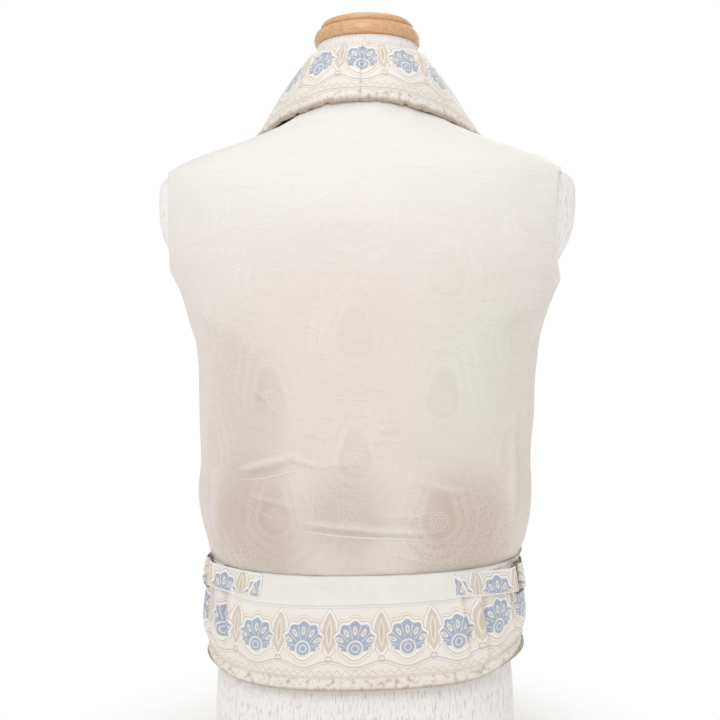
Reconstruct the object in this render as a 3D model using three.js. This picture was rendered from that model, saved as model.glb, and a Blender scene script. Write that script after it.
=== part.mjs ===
// Padded sleeveless vest with a turned-down collar and a printed hem band, standing on a limbless dress form.
// Millimetres, +Z up, the front faces -Y, the wearer's left is +X. The origin is under the base board's centre.
import * as THREE from "three";

// ---- Driving dimensions ----
const PADDED = 4; // thickness of the padded panels
const EASE = 1.6; // least gap between the form and the cloth that rests on it
const SEAM = 0.3; // gap between two sewn edges
const BOARD = 18; // height of the base board
const NECK_TOP = 753; // height of the form's neck under the wooden cap
const WAIST = 247; // height of the seam between the body and the hem band
const HEM = 146; // height of the hem at the centre
const UNDERARM = 515; // lowest point of the armhole
const SHOULDER_TIP = 623; // where the armhole crosses the shoulder
const NECKLINE = 694; // neckline at the centre back
const FRONT_NECK = 626; // neckline at the centre front
const LAP = 14; // how far each front passes the centre line
const LAP_GAP = 0.6; // gap between the two fronts where they lap
const SEAM_TILT = 3.8; // how much the waist seam drops at the wearer's left and rises at the right
const HEM_TILT = 5.2; // how much the hem does so
const HEM_RISE = 9; // how much higher the hem is at the sides
const NECK_DIP = 3; // how much lower the neckline is at the shoulder seams than at the centre back

// The form and the garment are stacks of rings. side is half the width, back and front are how far the ring
// reaches along +Y and -Y, mid is the Y of its widest place and square its superellipse power.
const FORM = [
  { z: 18, side: 147, back: 108, front: 98, mid: 0, square: 2.3 },
  { z: 60, side: 150, back: 116, front: 100, mid: 2, square: 2.3 },
  { z: 110, side: 149, back: 117, front: 100, mid: 2, square: 2.3 },
  { z: 160, side: 143, back: 109, front: 97, mid: 0, square: 2.3 },
  { z: 210, side: 133, back: 96, front: 92, mid: -2, square: 2.25 },
  { z: 260, side: 124, back: 86, front: 88, mid: -3, square: 2.2 },
  { z: 305, side: 120, back: 82, front: 87, mid: -3, square: 2.2 },
  { z: 360, side: 125, back: 88, front: 94, mid: -3, square: 2.2 },
  { z: 420, side: 137, back: 98, front: 108, mid: -3, square: 2.2 },
  { z: 470, side: 150, back: 105, front: 120, mid: -3, square: 2.3 },
  { z: 500, side: 163, back: 108, front: 121, mid: -3, square: 2.3 },
  { z: 516, side: 176, back: 110, front: 119, mid: -3, square: 2.3 },
  { z: 530, side: 188, back: 111, front: 116, mid: -3, square: 2.3 },
  { z: 545, side: 197, back: 111, front: 112, mid: -3, square: 2.3 },
  { z: 562, side: 204, back: 110, front: 107, mid: -3, square: 2.3 },
  { z: 580, side: 206.5, back: 107.5, front: 102, mid: -3, square: 2.3 },
  { z: 597, side: 207.3, back: 104, front: 97, mid: -4, square: 2.3 },
  { z: 608, side: 206.3, back: 101, front: 94, mid: -5, square: 2.3 },
  { z: 614, side: 203.5, back: 98.5, front: 92, mid: -5, square: 2.3 },
  { z: 618, side: 198, back: 96.5, front: 90.5, mid: -6, square: 2.3 },
  { z: 622, side: 187, back: 94.5, front: 89, mid: -6, square: 2.3 },
  { z: 630, side: 169, back: 90, front: 86.5, mid: -8, square: 2.25 },
  { z: 640, side: 139, back: 83, front: 83, mid: -11, square: 2.2 },
  { z: 650, side: 111, back: 74, front: 80.5, mid: -14, square: 2.2 },
  { z: 660, side: 88, back: 64.5, front: 79, mid: -17, square: 2.15 },
  { z: 672, side: 71, back: 54, front: 78.5, mid: -21, square: 2.1 },
  { z: 690, side: 59, back: 41, front: 79.5, mid: -25, square: 2 },
  { z: 712, side: 53.5, back: 28, front: 81.5, mid: -29, square: 2 },
  { z: 735, side: 51.5, back: 20.5, front: 82.8, mid: -31, square: 2 },
  { z: NECK_TOP, side: 51, back: 19, front: 83, mid: -32, square: 2 },
];
const ON_THE_FORM = 608; // from here up the garment rests on the form and shares its rings
const BODY = [
  { z: 240, side: 147, back: 103, front: 107, mid: 0, square: 2.3 },
  { z: 250, side: 148.5, back: 104.5, front: 108, mid: 0, square: 2.3 },
  { z: 262, side: 152.5, back: 107.5, front: 110, mid: 0, square: 2.3 },
  { z: 275, side: 156.5, back: 110.5, front: 112.5, mid: 0, square: 2.3 },
  { z: 290, side: 159.5, back: 112, front: 114.5, mid: 0, square: 2.3 },
  { z: 310, side: 160.5, back: 111.5, front: 116, mid: 0, square: 2.3 },
  { z: 345, side: 160, back: 111, front: 119, mid: 0, square: 2.3 },
  { z: 390, side: 160.5, back: 113, front: 126, mid: 0, square: 2.3 },
  { z: 430, side: 162.5, back: 115, front: 134, mid: 0, square: 2.3 },
  { z: 460, side: 166.5, back: 116.5, front: 138, mid: -1, square: 2.3 },
  { z: 480, side: 172.5, back: 117, front: 138, mid: -1, square: 2.3 },
  { z: 500, side: 179.5, back: 117, front: 134.5, mid: -2, square: 2.3 },
  { z: 515, side: 184.8, back: 116.5, front: 130.5, mid: -2, square: 2.3 },
  { z: 530, side: 191, back: 116, front: 125, mid: -3, square: 2.3 },
  { z: 545, side: 198.4, back: 115, front: 119, mid: -3, square: 2.3 },
  { z: 562, side: 204.4, back: 113, front: 112, mid: -3, square: 2.3 },
  { z: 580, side: 206.7, back: 109.5, front: 104.5, mid: -3, square: 2.3 },
  { z: 597, side: 207.4, back: 104.8, front: 98, mid: -4, square: 2.3 },
  ...FORM.filter((ring) => ring.z >= ON_THE_FORM),
];
const BAND = [
  { z: 130, side: 149.5, back: 117, front: 113, mid: 0, square: 2.3 },
  { z: 150, side: 153.5, back: 118, front: 113.5, mid: 0, square: 2.3 },
  { z: 172, side: 156, back: 117, front: 113.5, mid: 0, square: 2.3 },
  { z: 195, side: 155.5, back: 113.5, front: 112, mid: 0, square: 2.3 },
  { z: 218, side: 151.5, back: 108, front: 109.5, mid: 0, square: 2.3 },
  { z: 250, side: 146.5, back: 102.5, front: 106.5, mid: 0, square: 2.3 },
];
// Soft vertical folds: turn and width in degrees, depth outwards in mm, from one height to the other.
const BODY_FOLDS = [
  { turn: 74, width: 5, depth: -5, low: 262, high: 430 },
  { turn: -73, width: 5, depth: -6, low: 256, high: 440 },
  { turn: 104, width: 6, depth: -4, low: 258, high: 400 },
  { turn: -106, width: 6, depth: -5, low: 262, high: 410 },
];
const BAND_FOLDS = [
  { turn: 64, width: 3.5, depth: -3.5, low: 160, high: 262 },
  { turn: -54, width: 3, depth: -3, low: 165, high: 262 },
  { turn: -61, width: 3, depth: -3.5, low: 158, high: 262 },
  { turn: 112, width: 4, depth: -3, low: 165, high: 262 },
  { turn: -114, width: 4, depth: -3, low: 160, high: 262 },
];
// X of the armhole edge on the ring at each height, on the back and on the front.
const ARMHOLE = [
  { z: 515, back: 184.8, front: 184.8 },
  { z: 519, back: 183, front: 182 },
  { z: 526, back: 179.5, front: 176 },
  { z: 540, back: 177, front: 170 },
  { z: 560, back: 176.5, front: 166.5 },
  { z: 580, back: 176.5, front: 167 },
  { z: 600, back: 177.5, front: 170.5 },
  { z: 615, back: 180, front: 177 },
  { z: 620, back: 182, front: 180.5 },
  { z: 623, back: 184.5, front: 184.5 },
];
// The front neckline: degrees from the centre front, and height.
const FRONT_NECKLINE = [
  { z: FRONT_NECK, turn: 0 },
  { z: 630, turn: 14 },
  { z: 640, turn: 28 },
  { z: 654, turn: 42 },
  { z: 668, turn: 56 },
  { z: 681, turn: 70 },
  { z: 691, turn: 84 },
  { z: 700, turn: 90 },
];
// Collar stations from the centre back round to the collar point: where it is sewn on, how tall the stand is,
// and where the outer edge lies. lift is how far the edge stands off the cloth under it.
const COLLAR = [
  { neck: 0, stand: 43, edge: 0, height: 676, lift: 1 },
  { neck: 25, stand: 43, edge: 24, height: 674, lift: 4 },
  { neck: 50, stand: 44, edge: 46, height: 668, lift: 5 },
  { neck: 72, stand: 45, edge: 68, height: 661, lift: 3 },
  { neck: 92, stand: 45, edge: 90, height: 653, lift: 1 },
  { neck: 112, stand: 40, edge: 109, height: 637, lift: 1 },
  { neck: 131, stand: 32, edge: 124, height: 616, lift: 1 },
  { neck: 148, stand: 22, edge: 136, height: 594, lift: 1 },
  { neck: 163, stand: 13, edge: 145, height: 575, lift: 1 },
  { neck: 175, stand: 7, edge: 151, height: 559, lift: 1 },
];
const COLLAR_CLOTH = 4.4; // thickness of the padded collar
const ROLL = 3.4; // radius of the collar's roll at its middle
const COLLAR_BOW = 3; // how far its fall is rounded outwards
const COLLAR_CLEAR = 1; // least gap between its fall and the cloth below
const FOOT = { gap: 0.8, rise: 1.5, from: 84, to: 112 }; // gap over the neckline, larger past the shoulder seam
// A tab: under is how far its folded end runs back, sewnAt the degrees of its sewn end from the centre line,
// below its distance from the waist seam there and gap its least distance from what it lies on.
const TAB = { height: 24, cloth: 1.4, under: 20, sewnAt: 43, below: 0.8, gap: 0.4 };
const RING = { height: 30, length: 20, wire: 2.8, corner: 2, turn: 73, middle: 231 }; // middle is its height
const BUTTON = { radius: 8, thick: 3, rim: 1.2, first: 598, step: 67, count: 7 };
const CAP = { radius: 54, neckRadius: 51, height: 23, groove: 13 };

// ---- Small helpers ----
const rad = THREE.MathUtils.degToRad;
const deg = THREE.MathUtils.radToDeg;
const smooth = (low, high, x) => THREE.MathUtils.smoothstep(x, low, high);

// A column of a table at a value of its key column, on a monotone cubic.
function read(rows, key, at, column) {
  const last = rows.length - 1;
  if (at <= rows[0][key]) return rows[0][column];
  if (at >= rows[last][key]) return rows[last][column];
  const i = rows.findIndex((row) => row[key] > at) - 1;
  const slope = (k) => {
    if (k < 0 || k >= last) return null;
    return (rows[k + 1][column] - rows[k][column]) / (rows[k + 1][key] - rows[k][key]);
  };
  const tangent = (k) => {
    const before = slope(k - 1) ?? slope(k);
    const after = slope(k) ?? slope(k - 1);
    return before * after <= 0 ? 0 : (2 * before * after) / (before + after);
  };
  const step = rows[i + 1][key] - rows[i][key];
  const t = (at - rows[i][key]) / step;
  const t2 = t * t;
  const t3 = t2 * t;
  return (
    (2 * t3 - 3 * t2 + 1) * rows[i][column] +
    (t3 - 2 * t2 + t) * step * tangent(i) +
    (3 * t2 - 2 * t3) * rows[i + 1][column] +
    (t3 - t2) * step * tangent(i + 1)
  );
}

function spaced(low, high, count) {
  return Array.from({ length: count + 1 }, (_, i) => low + ((high - low) * i) / count);
}

// The point of a ring stack in a direction: turn 0 is the centre back, 90 the wearer's left, 180 the front.
function onRings(rings, turn, z) {
  const [side, mid, square] = ["side", "mid", "square"].map((c) => read(rings, "z", z, c));
  const [s, c] = [Math.sin(rad(turn)), Math.cos(rad(turn))];
  const depth = c >= 0 ? read(rings, "z", z, "back") - mid : read(rings, "z", z, "front") + mid;
  const r = (Math.abs(s / side) ** square + Math.abs(c / depth) ** square) ** (-1 / square);
  return new THREE.Vector3(r * s, mid + r * c, z);
}

function outward(rings, turn, z, flat = 1) {
  const [dTurn, dz] = [0.2, 0.5];
  const along = onRings(rings, turn + dTurn, z).sub(onRings(rings, turn - dTurn, z));
  const up = onRings(rings, turn, z + dz).sub(onRings(rings, turn, z - dz));
  const normal = up.cross(along).normalize();
  normal.z *= flat;
  return normal.normalize();
}

function foldDepth(folds, turn, z) {
  return folds.reduce((sum, fold) => {
    const across = Math.exp(-(((turn - fold.turn) / fold.width) ** 2));
    const along = smooth(fold.low, fold.low + 25, z) * (1 - smooth(fold.high - 60, fold.high, z));
    return sum + fold.depth * across * along;
  }, 0);
}

// Degrees from the centre line (back or front) at which the ring reaches this X.
function turnAtX(rings, x, z, part) {
  const [side, mid, square] = ["side", "mid", "square"].map((c) => read(rings, "z", z, c));
  const depth = part === "back" ? read(rings, "z", z, "back") - mid : read(rings, "z", z, "front") + mid;
  const share = Math.min(1, Math.abs(x) / side);
  return Math.sign(x) * deg(Math.atan2(side * share, depth * (1 - share ** square) ** (1 / square)));
}

function geometryOf(points, faces) {
  const volume = faces.reduce((sum, [a, b, c]) => {
    return sum + points[a].dot(new THREE.Vector3().crossVectors(points[b], points[c])) / 6;
  }, 0);
  const turned = volume < 0 ? faces.map(([a, b, c]) => [a, c, b]) : faces;
  const geometry = new THREE.BufferGeometry().setFromPoints(points);
  geometry.setIndex(turned.flat());
  geometry.computeVertexNormals();
  return geometry;
}

// A closed wall between two grids of points that have the same rows and columns.
function wall(inner, outer) {
  const [rows, columns] = [inner.length, inner[0].length];
  const points = [...inner.flat(), ...outer.flat()];
  const at = (i, j, k) => k * rows * columns + i * columns + j;
  const faces = [];
  const quad = (a, b, c, d) => faces.push([a, b, c], [a, c, d]);
  for (let i = 0; i + 1 < rows; i++)
    for (let j = 0; j + 1 < columns; j++) {
      quad(at(i, j, 0), at(i + 1, j, 0), at(i + 1, j + 1, 0), at(i, j + 1, 0));
      quad(at(i, j, 1), at(i, j + 1, 1), at(i + 1, j + 1, 1), at(i + 1, j, 1));
    }
  for (let j = 0; j + 1 < columns; j++) {
    quad(at(0, j, 0), at(0, j + 1, 0), at(0, j + 1, 1), at(0, j, 1));
    quad(at(rows - 1, j, 0), at(rows - 1, j, 1), at(rows - 1, j + 1, 1), at(rows - 1, j + 1, 0));
  }
  for (let i = 0; i + 1 < rows; i++) {
    quad(at(i, 0, 0), at(i, 0, 1), at(i + 1, 0, 1), at(i + 1, 0, 0));
    quad(at(i, columns - 1, 0), at(i + 1, columns - 1, 0), at(i + 1, columns - 1, 1), at(i, columns - 1, 1));
  }
  return geometryOf(points, faces);
}

// A wall of even thickness about a grid of middle points.
function wallAbout(grid, thick) {
  const [rows, columns] = [grid.length, grid[0].length];
  const moved = (side) =>
    grid.map((row, i) =>
      row.map((point, j) => {
        const along = grid[Math.min(i + 1, rows - 1)][j].clone().sub(grid[Math.max(i - 1, 0)][j]);
        const across = row[Math.min(j + 1, columns - 1)].clone().sub(row[Math.max(j - 1, 0)]);
        return along.cross(across).normalize().multiplyScalar((side * thick) / 2).add(point);
      }),
    );
  return wall(moved(-1), moved(1));
}

const vest = new THREE.Group();
const cream = { color: 0xefe9dc, roughness: 0.55, metalness: 0 };
const printed = { color: 0xd9dcdf, roughness: 0.55, metalness: 0 };
const linen = { color: 0xe9e6e4, roughness: 0.9, metalness: 0 };
const beech = { color: 0xc8935a, roughness: 0.45, metalness: 0 };
const brass = { color: 0x7d6650, roughness: 0.4, metalness: 1 };
const shell = { color: 0xe9e2d2, roughness: 0.25, metalness: 0 };

function add(name, geometry, look) {
  const mesh = new THREE.Mesh(geometry, new THREE.MeshStandardMaterial(look));
  mesh.name = name;
  vest.add(mesh);
  return mesh;
}

// ---- Dress form ----
function formTorso() {
  const columns = 44;
  const heights = [
    ...spaced(BOARD + SEAM, 470, 12),
    ...spaced(480, 600, 9),
    ...spaced(606, 630, 7),
    ...spaced(638, NECK_TOP, 11),
  ];
  const points = heights.flatMap((z) =>
    spaced(0, 360, columns)
      .slice(0, columns)
      .map((turn) => onRings(FORM, turn > 180 ? turn - 360 : turn, z)),
  );
  const faces = [];
  for (let i = 0; i + 1 < heights.length; i++)
    for (let j = 0; j < columns; j++) {
      const [a, b] = [i * columns + j, i * columns + ((j + 1) % columns)];
      faces.push([a, b, b + columns], [a, b + columns, a + columns]);
    }
  const top = (heights.length - 1) * columns;
  for (let j = 1; j + 1 < columns; j++) faces.push([0, j + 1, j], [top, top + j, top + j + 1]);
  return geometryOf(points, faces);
}

// The turned cap: a thick lower tier with a round edge, a groove, and a low domed top.
function neckCap() {
  const { radius, neckRadius, height, groove } = CAP;
  const edge = new THREE.EllipseCurve(neckRadius - 4, 6, radius - neckRadius + 4, 6, -Math.PI / 2, Math.PI / 3.2);
  const dome = new THREE.EllipseCurve(radius - 19, groove + 1, 8, height - groove - 1, 0, Math.PI / 2);
  const profile = [
    new THREE.Vector2(0, 0),
    ...edge.getPoints(7),
    new THREE.Vector2(radius - 9, groove),
    new THREE.Vector2(radius - 12, groove - 0.8),
    ...dome.getPoints(5),
    new THREE.Vector2(0, height + 1),
  ];
  const turned = new THREE.LatheGeometry(profile, 32);
  return turned.rotateX(Math.PI / 2);
}

function baseBoard() {
  const outline = spaced(0, 360, 48)
    .slice(0, 48)
    .map((turn) => onRings(FORM, turn > 180 ? turn - 360 : turn, BOARD));
  const inset = 0.985;
  const shape = new THREE.Shape(outline.map((p) => new THREE.Vector2(p.x * inset, p.y * inset)));
  return new THREE.ExtrudeGeometry(shape, { depth: BOARD, bevelEnabled: false });
}

add("form_torso", formTorso(), linen);
add("form_neck_cap", neckCap(), beech).position.set(0, -32, NECK_TOP + SEAM);
add("form_base_board", baseBoard(), beech);

// ---- Body panels ----
const seamTilt = (turn) => -SEAM_TILT * Math.sin(rad(turn));
const SEAM_FADE = 320; // above this height the rows are level
const SEAM_TURN = 0.08; // half the gap at a side or shoulder seam, in degrees
const waistAt = (turn) => WAIST + seamTilt(turn);
const rowHeight = (level, turn) => level + seamTilt(turn) * (1 - smooth(WAIST, SEAM_FADE, level));
const seamFlat = (z) => smooth(WAIST, WAIST + 22, Math.abs(z - WAIST) + WAIST);

// How far a front is lifted near the centre line, so that the right front laps over the left one.
const LIFT_ENDS = { from: LAP + 3, to: LAP + 32 };
const lapLift = (x) => (PADDED + LAP_GAP) * (1 - smooth(LIFT_ENDS.from, LIFT_ENDS.to, x));

function clothPoint(rings, folds, turn, z, offset) {
  const signed = turn > 180 ? turn - 360 : turn < -180 ? turn + 360 : turn;
  const base = onRings(rings, signed, z);
  const out = EASE + offset + foldDepth(folds, turn, z);
  return base.addScaledVector(outward(rings, signed, z, seamFlat(z)), out);
}

function armholeTurn(z, part) {
  if (z <= UNDERARM || z >= SHOULDER_TIP) return 90 - SEAM_TURN;
  return Math.min(90 - SEAM_TURN, turnAtX(BODY, read(ARMHOLE, "z", z, part), z, part));
}

const bodyLevels = [
  ...spaced(WAIST, 290, 4),
  ...spaced(310, UNDERARM, 7),
  ...spaced(0, 1, 4).slice(1).map((t) => UNDERARM + 25 * t ** 2),
  ...spaced(555, 605, 4),
  ...spaced(0, 1, 5).map((t) => 612 + (SHOULDER_TIP - 612) * Math.sin((t * Math.PI) / 2)),
  ...spaced(627, 650, 3),
];

// Turns across a panel: even as far as the armholes' reach, and evenly squeezed from there to each edge.
const ARM_REACH = 54;
function acrossPanel(edge, count) {
  const outer = Math.round((count * (90 - ARM_REACH)) / 90);
  return [...spaced(0, ARM_REACH, count - outer), ...spaced(ARM_REACH, edge, outer).slice(1)];
}

function panel(levels, turnsOf, heightOf, rings, folds, liftOf = () => 0) {
  const grid = (offset) =>
    levels.map((level) =>
      turnsOf(level).map((turn) => {
        const z = heightOf(level, turn);
        const x = onRings(rings, turn > 180 ? turn - 360 : turn < -180 ? turn + 360 : turn, z).x;
        return clothPoint(rings, folds, turn, z, offset + liftOf(x));
      }),
    );
  return wall(grid(0), grid(PADDED));
}

function backPanel() {
  const columns = 24;
  const levels = [...bodyLevels, ...spaced(660, NECKLINE, 3)];
  const turnsOf = (level) => {
    const half = acrossPanel(armholeTurn(level, "back"), columns / 2);
    return [...half.slice(1).reverse().map((turn) => -turn), ...half];
  };
  const heightOf = (level, turn) => {
    const dip = level === NECKLINE ? NECK_DIP * (turn / 90) ** 2 : 0;
    return Math.max(rowHeight(level, turn) - dip, waistAt(turn) + SEAM / 2);
  };
  return panel(levels, turnsOf, heightOf, BODY, BODY_FOLDS);
}

// The front's rows above the neckline's lowest point: its table's heights and those halfway between them.
const necklineLevels = FRONT_NECKLINE.slice(0, -1).flatMap((row, i) =>
  i === 0 ? [row.z] : [(row.z + FRONT_NECKLINE[i - 1].z) / 2, row.z],
);

function frontEdge(z) {
  const lap = -deg(Math.atan2(LAP, read(BODY, "z", z, "front")));
  return z <= FRONT_NECK - 4 ? lap : read(FRONT_NECKLINE, "z", z, "turn");
}

// side is 1 for the wearer's left front, which lies under, and -1 for the right front, which laps over it.
function frontPanel(side) {
  const columns = 12;
  const levels = [...bodyLevels.filter((z) => z < FRONT_NECK), ...necklineLevels];
  const turnsOf = (level) => {
    const [outer, inner] = [armholeTurn(level, "front"), frontEdge(level)];
    const across =
      inner < ARM_REACH / 3
        ? [inner, ...acrossPanel(outer, columns).slice(1)]
        : spaced(inner, outer, columns);
    return across.map((turn) => side * (180 - turn));
  };
  const heightOf = (level, turn) => Math.max(rowHeight(level, turn), waistAt(turn) + SEAM / 2);
  const liftOf = (x) => (side < 0 ? lapLift(-x) : 0);
  return panel(levels, turnsOf, heightOf, BODY, BODY_FOLDS, liftOf);
}

add("back_panel", backPanel(), cream);
add("front_panel_left", frontPanel(1), cream);
add("front_panel_right", frontPanel(-1), cream);

// ---- Hem band ----
const bandShare = spaced(0, 1, 6);
const RISE_FADES = { from: 20, to: 45 }; // degrees from the side seam

function hemAt(turn) {
  const fromSide = Math.abs(Math.abs(turn) - 90);
  const rise = HEM_RISE * (1 - smooth(RISE_FADES.from, RISE_FADES.to, fromSide));
  return HEM - HEM_TILT * Math.sin(rad(turn)) + rise;
}

function bandHeight(share, turn) {
  return THREE.MathUtils.lerp(hemAt(turn), waistAt(turn) - SEAM / 2, share);
}

function bandPiece(turns, liftOf) {
  return panel(bandShare, () => turns, bandHeight, BAND, BAND_FOLDS, liftOf);
}

const bandLap = deg(Math.atan2(LAP, read(BAND, "z", (HEM + WAIST) / 2, "front")));
const bandSeam = 90 - SEAM_TURN;
add("band_back", bandPiece(spaced(-bandSeam, bandSeam, 40)), printed);
add("band_front_left", bandPiece(spaced(180 - bandSeam, 180 + bandLap, 20)), printed);
add("band_front_right", bandPiece(spaced(-180 + bandSeam, -180 - bandLap, 20), (x) => lapLift(-x)), printed);

// ---- Collar ----
// How far a garment surface point stands off the ring stack it was worked out from, and the way out there.
function standOff(point) {
  const turn = deg(Math.atan2(point.x, point.y - read(BODY, "z", point.z, "mid")));
  const way = outward(BODY, turn, point.z);
  return { way, out: point.clone().sub(onRings(BODY, turn, point.z)).dot(way) };
}

function necklineAt(turn) {
  const back = NECKLINE - NECK_DIP * (turn / 90) ** 2;
  const rising = FRONT_NECKLINE.toSorted((a, b) => a.turn - b.turn);
  return turn <= 90 ? back : read(rising, "turn", 180 - turn, "z");
}

// side is 1 for the left half and -1 for the right one, whose end follows the lapped right front.
function collarHalf(side) {
  const [stations, standSteps, rollSteps, fallSteps] = [18, 3, 5, 5];
  const firstStation = 0.003; // leaves the seam gap at the centre back
  const rows = COLLAR.map((row, index) => ({ ...row, index }));
  const lap = (x) => (side < 0 ? lapLift(Math.abs(x)) : 0);
  const grid = spaced(firstStation, 1, stations).map((share) => {
    const at = share * (rows.length - 1);
    const [neck, stand, edge, height, lift] = ["neck", "stand", "edge", "height", "lift"].map((column) =>
      read(rows, "index", at, column),
    );
    const inFront = smooth(110, 140, neck);
    const foot = necklineAt(neck) + FOOT.gap + FOOT.rise * smooth(FOOT.from, FOOT.to, neck);
    const up = spaced(foot, foot + stand - ROLL, standSteps).map((z) => {
      const base = onRings(BODY, neck, z);
      return base.addScaledVector(outward(BODY, neck, z), EASE + COLLAR_CLOTH / 2 + inFront * lap(base.x));
    });
    const onBody = (x) => EASE + PADDED + COLLAR_CLOTH / 2 + COLLAR_CLEAR + inFront * lap(x);
    const end = onRings(BODY, edge, height);
    end.addScaledVector(outward(BODY, edge, height), lift + onBody(end.x));
    const top = up.at(-1);
    const away = outward(BODY, neck, top.z).setZ(0).normalize();
    const centre = top.clone().addScaledVector(away, ROLL);
    const reach = end.clone().sub(centre);
    const slope = Math.atan2(reach.z, Math.max(reach.dot(away), 0));
    const roll = spaced(Math.PI, Math.PI / 2 + slope, rollSteps)
      .slice(1)
      .map((angle) => {
        const across = centre.clone().addScaledVector(away, ROLL * Math.cos(angle));
        return across.setZ(centre.z + ROLL * Math.sin(angle));
      });
    const fall = spaced(0, 1, fallSteps)
      .slice(1)
      .map((s) => {
        const raise = COLLAR_BOW * Math.sin(Math.PI * s);
        const p = roll.at(-1).clone().lerp(end, s);
        p.addScaledVector(away, raise * 0.6).setZ(p.z + raise * 0.8);
        const { way, out } = standOff(p);
        return p.addScaledVector(way, Math.max(0, onBody(p.x) - out));
      });
    return [...up, ...roll, ...fall].map((p) => p.setX(side * p.x));
  });
  return wallAbout(grid, COLLAR_CLOTH);
}

add("collar_left", collarHalf(1), printed);
add("collar_right", collarHalf(-1), printed);

// ---- Side tabs and their rings ----
// A slide ring lies on each side of the band, and a tab from the back and one from the front are folded round it.
const tabLow = TAB.gap + TAB.cloth / 2; // middle of a tab that lies on the band, above the band's face
const ringOut = TAB.gap + TAB.cloth + TAB.gap + RING.wire / 2;
const tabTurn = TAB.gap + (RING.wire + TAB.cloth) / 2; // radius of the fold round the ring's bar
const barFromRing = (RING.length - RING.wire) / 2;
// part is "back" or "front", side 1 or -1; turn is measured from that part's centre line.
function onBand(part, side, turn, z, out) {
  return clothPoint(BAND, [], side * (part === "back" ? turn : 180 - turn), z, PADDED + out);
}

// A ring's place: its middle, and the ways towards the front, up and outwards.
function ringPlace(side) {
  const outwards = outward(BAND, side * RING.turn, RING.middle);
  const forwards = new THREE.Vector3(0, 0, side).cross(outwards).negate().normalize();
  const upwards = outwards.clone().cross(forwards).multiplyScalar(-side);
  return { middle: onBand("back", side, RING.turn, RING.middle, ringOut), forwards, upwards, outwards };
}

function tab(part, side) {
  const place = ringPlace(side);
  const towards = part === "back" ? 1 : -1; // from the sewn end to the ring, along the ring's way forwards
  const bar = place.middle.clone().addScaledVector(place.forwards, -towards * barFromRing);
  const atBar = (along, out) =>
    spaced(TAB.height / 2, -TAB.height / 2, 3).map((up) =>
      bar
        .clone()
        .addScaledVector(place.forwards, towards * along)
        .addScaledVector(place.outwards, out)
        .addScaledVector(place.upwards, up),
    );
  const ringTurn = part === "back" ? RING.turn : 180 - RING.turn;
  const perDegree = onBand(part, side, ringTurn, RING.middle, ringOut).distanceTo(
    onBand(part, side, ringTurn - 1, RING.middle, ringOut),
  );
  const barTurn = ringTurn - barFromRing / perDegree;
  const sewnTop = waistAt(side * (part === "back" ? TAB.sewnAt : 180 - TAB.sewnAt)) - TAB.below;
  const onCloth = (turn, out) => {
    const top = THREE.MathUtils.lerp(
      sewnTop, RING.middle + TAB.height / 2, (turn - TAB.sewnAt) / (barTurn - TAB.sewnAt));
    return spaced(top, top - TAB.height, 3).map((z) => onBand(part, side, turn, z, out));
  };
  const beforeBar = (mm) => barTurn - mm / perDegree;
  const lowerEnd = beforeBar(TAB.under);
  const overLower = tabLow + TAB.cloth + TAB.gap;
  const flat = spaced(TAB.sewnAt, lowerEnd - 8 / perDegree, part === "back" ? 5 : 14);
  const folded = spaced(Math.PI / 2, -Math.PI / 2, 6);
  return wallAbout(
    [
      ...flat.map((turn) => onCloth(turn, tabLow)),
      onCloth(lowerEnd - 1 / perDegree, overLower + 0.3),
      onCloth(beforeBar(TAB.under / 2), overLower + 1),
      onCloth(beforeBar(TAB.under / 4), ringOut + tabTurn - 0.6),
      ...folded.map((angle) => atBar(tabTurn * Math.cos(angle), tabTurn * Math.sin(angle))),
      onCloth(beforeBar(TAB.under / 4), tabLow + 0.2),
      onCloth(beforeBar(TAB.under / 2), tabLow),
      onCloth(lowerEnd, tabLow),
    ],
    TAB.cloth,
  );
}

// A closed round wire bent to a rectangle with round corners.
function ringWire() {
  const [around, corner] = [10, RING.corner];
  const [x, y] = [(RING.length - RING.wire) / 2 - corner, (RING.height - RING.wire) / 2 - corner];
  const corners = [[x, y, 0], [-x, y, 90], [-x, -y, 180], [x, -y, 270]];
  const path = corners.flatMap(([cx, cy, start]) =>
    spaced(start, start + 90, 4).map((turn) => {
      const way = new THREE.Vector3(Math.cos(rad(turn)), Math.sin(rad(turn)), 0);
      return { middle: new THREE.Vector3(cx, cy, 0).addScaledVector(way, corner), way };
    }),
  );
  const points = path.flatMap(({ middle, way }) =>
    spaced(0, 2 * Math.PI, around)
      .slice(1)
      .map((angle) => {
        const out = middle.clone().addScaledVector(way, (RING.wire / 2) * Math.cos(angle));
        return out.setZ((RING.wire / 2) * Math.sin(angle));
      }),
  );
  const faces = path.flatMap((_, i) =>
    spaced(0, around - 1, around - 1).flatMap((j) => {
      const [a, b] = [i * around, ((i + 1) % path.length) * around];
      const k = (j + 1) % around;
      return [[a + j, b + j, b + k], [a + j, b + k, a + k]];
    }),
  );
  return geometryOf(points, faces);
}

for (const [word, side] of [["left", 1], ["right", -1]]) {
  for (const part of ["back", "front"]) add(`tab_${word}_${part}`, tab(part, side), printed);
  const { middle, upwards, outwards } = ringPlace(side);
  const ring = add(`ring_${word}`, ringWire(), brass);
  ring.position.copy(middle);
  ring.quaternion.setFromRotationMatrix(
    new THREE.Matrix4().makeBasis(upwards.clone().cross(outwards), upwards, outwards),
  );
}

// ---- Buttons ----
function button() {
  const { radius, thick, rim } = BUTTON;
  const profile = [
    new THREE.Vector2(0, 0),
    new THREE.Vector2(radius - 1, 0),
    new THREE.Vector2(radius, 0.8),
    new THREE.Vector2(radius, thick - 0.6),
    new THREE.Vector2(radius - 0.6, thick),
    new THREE.Vector2(radius - rim, thick),
    new THREE.Vector2(radius - rim - 1, thick - 0.8),
    new THREE.Vector2(0, thick - 0.8),
  ];
  return new THREE.LatheGeometry(profile, 20).rotateX(Math.PI / 2);
}

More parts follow.
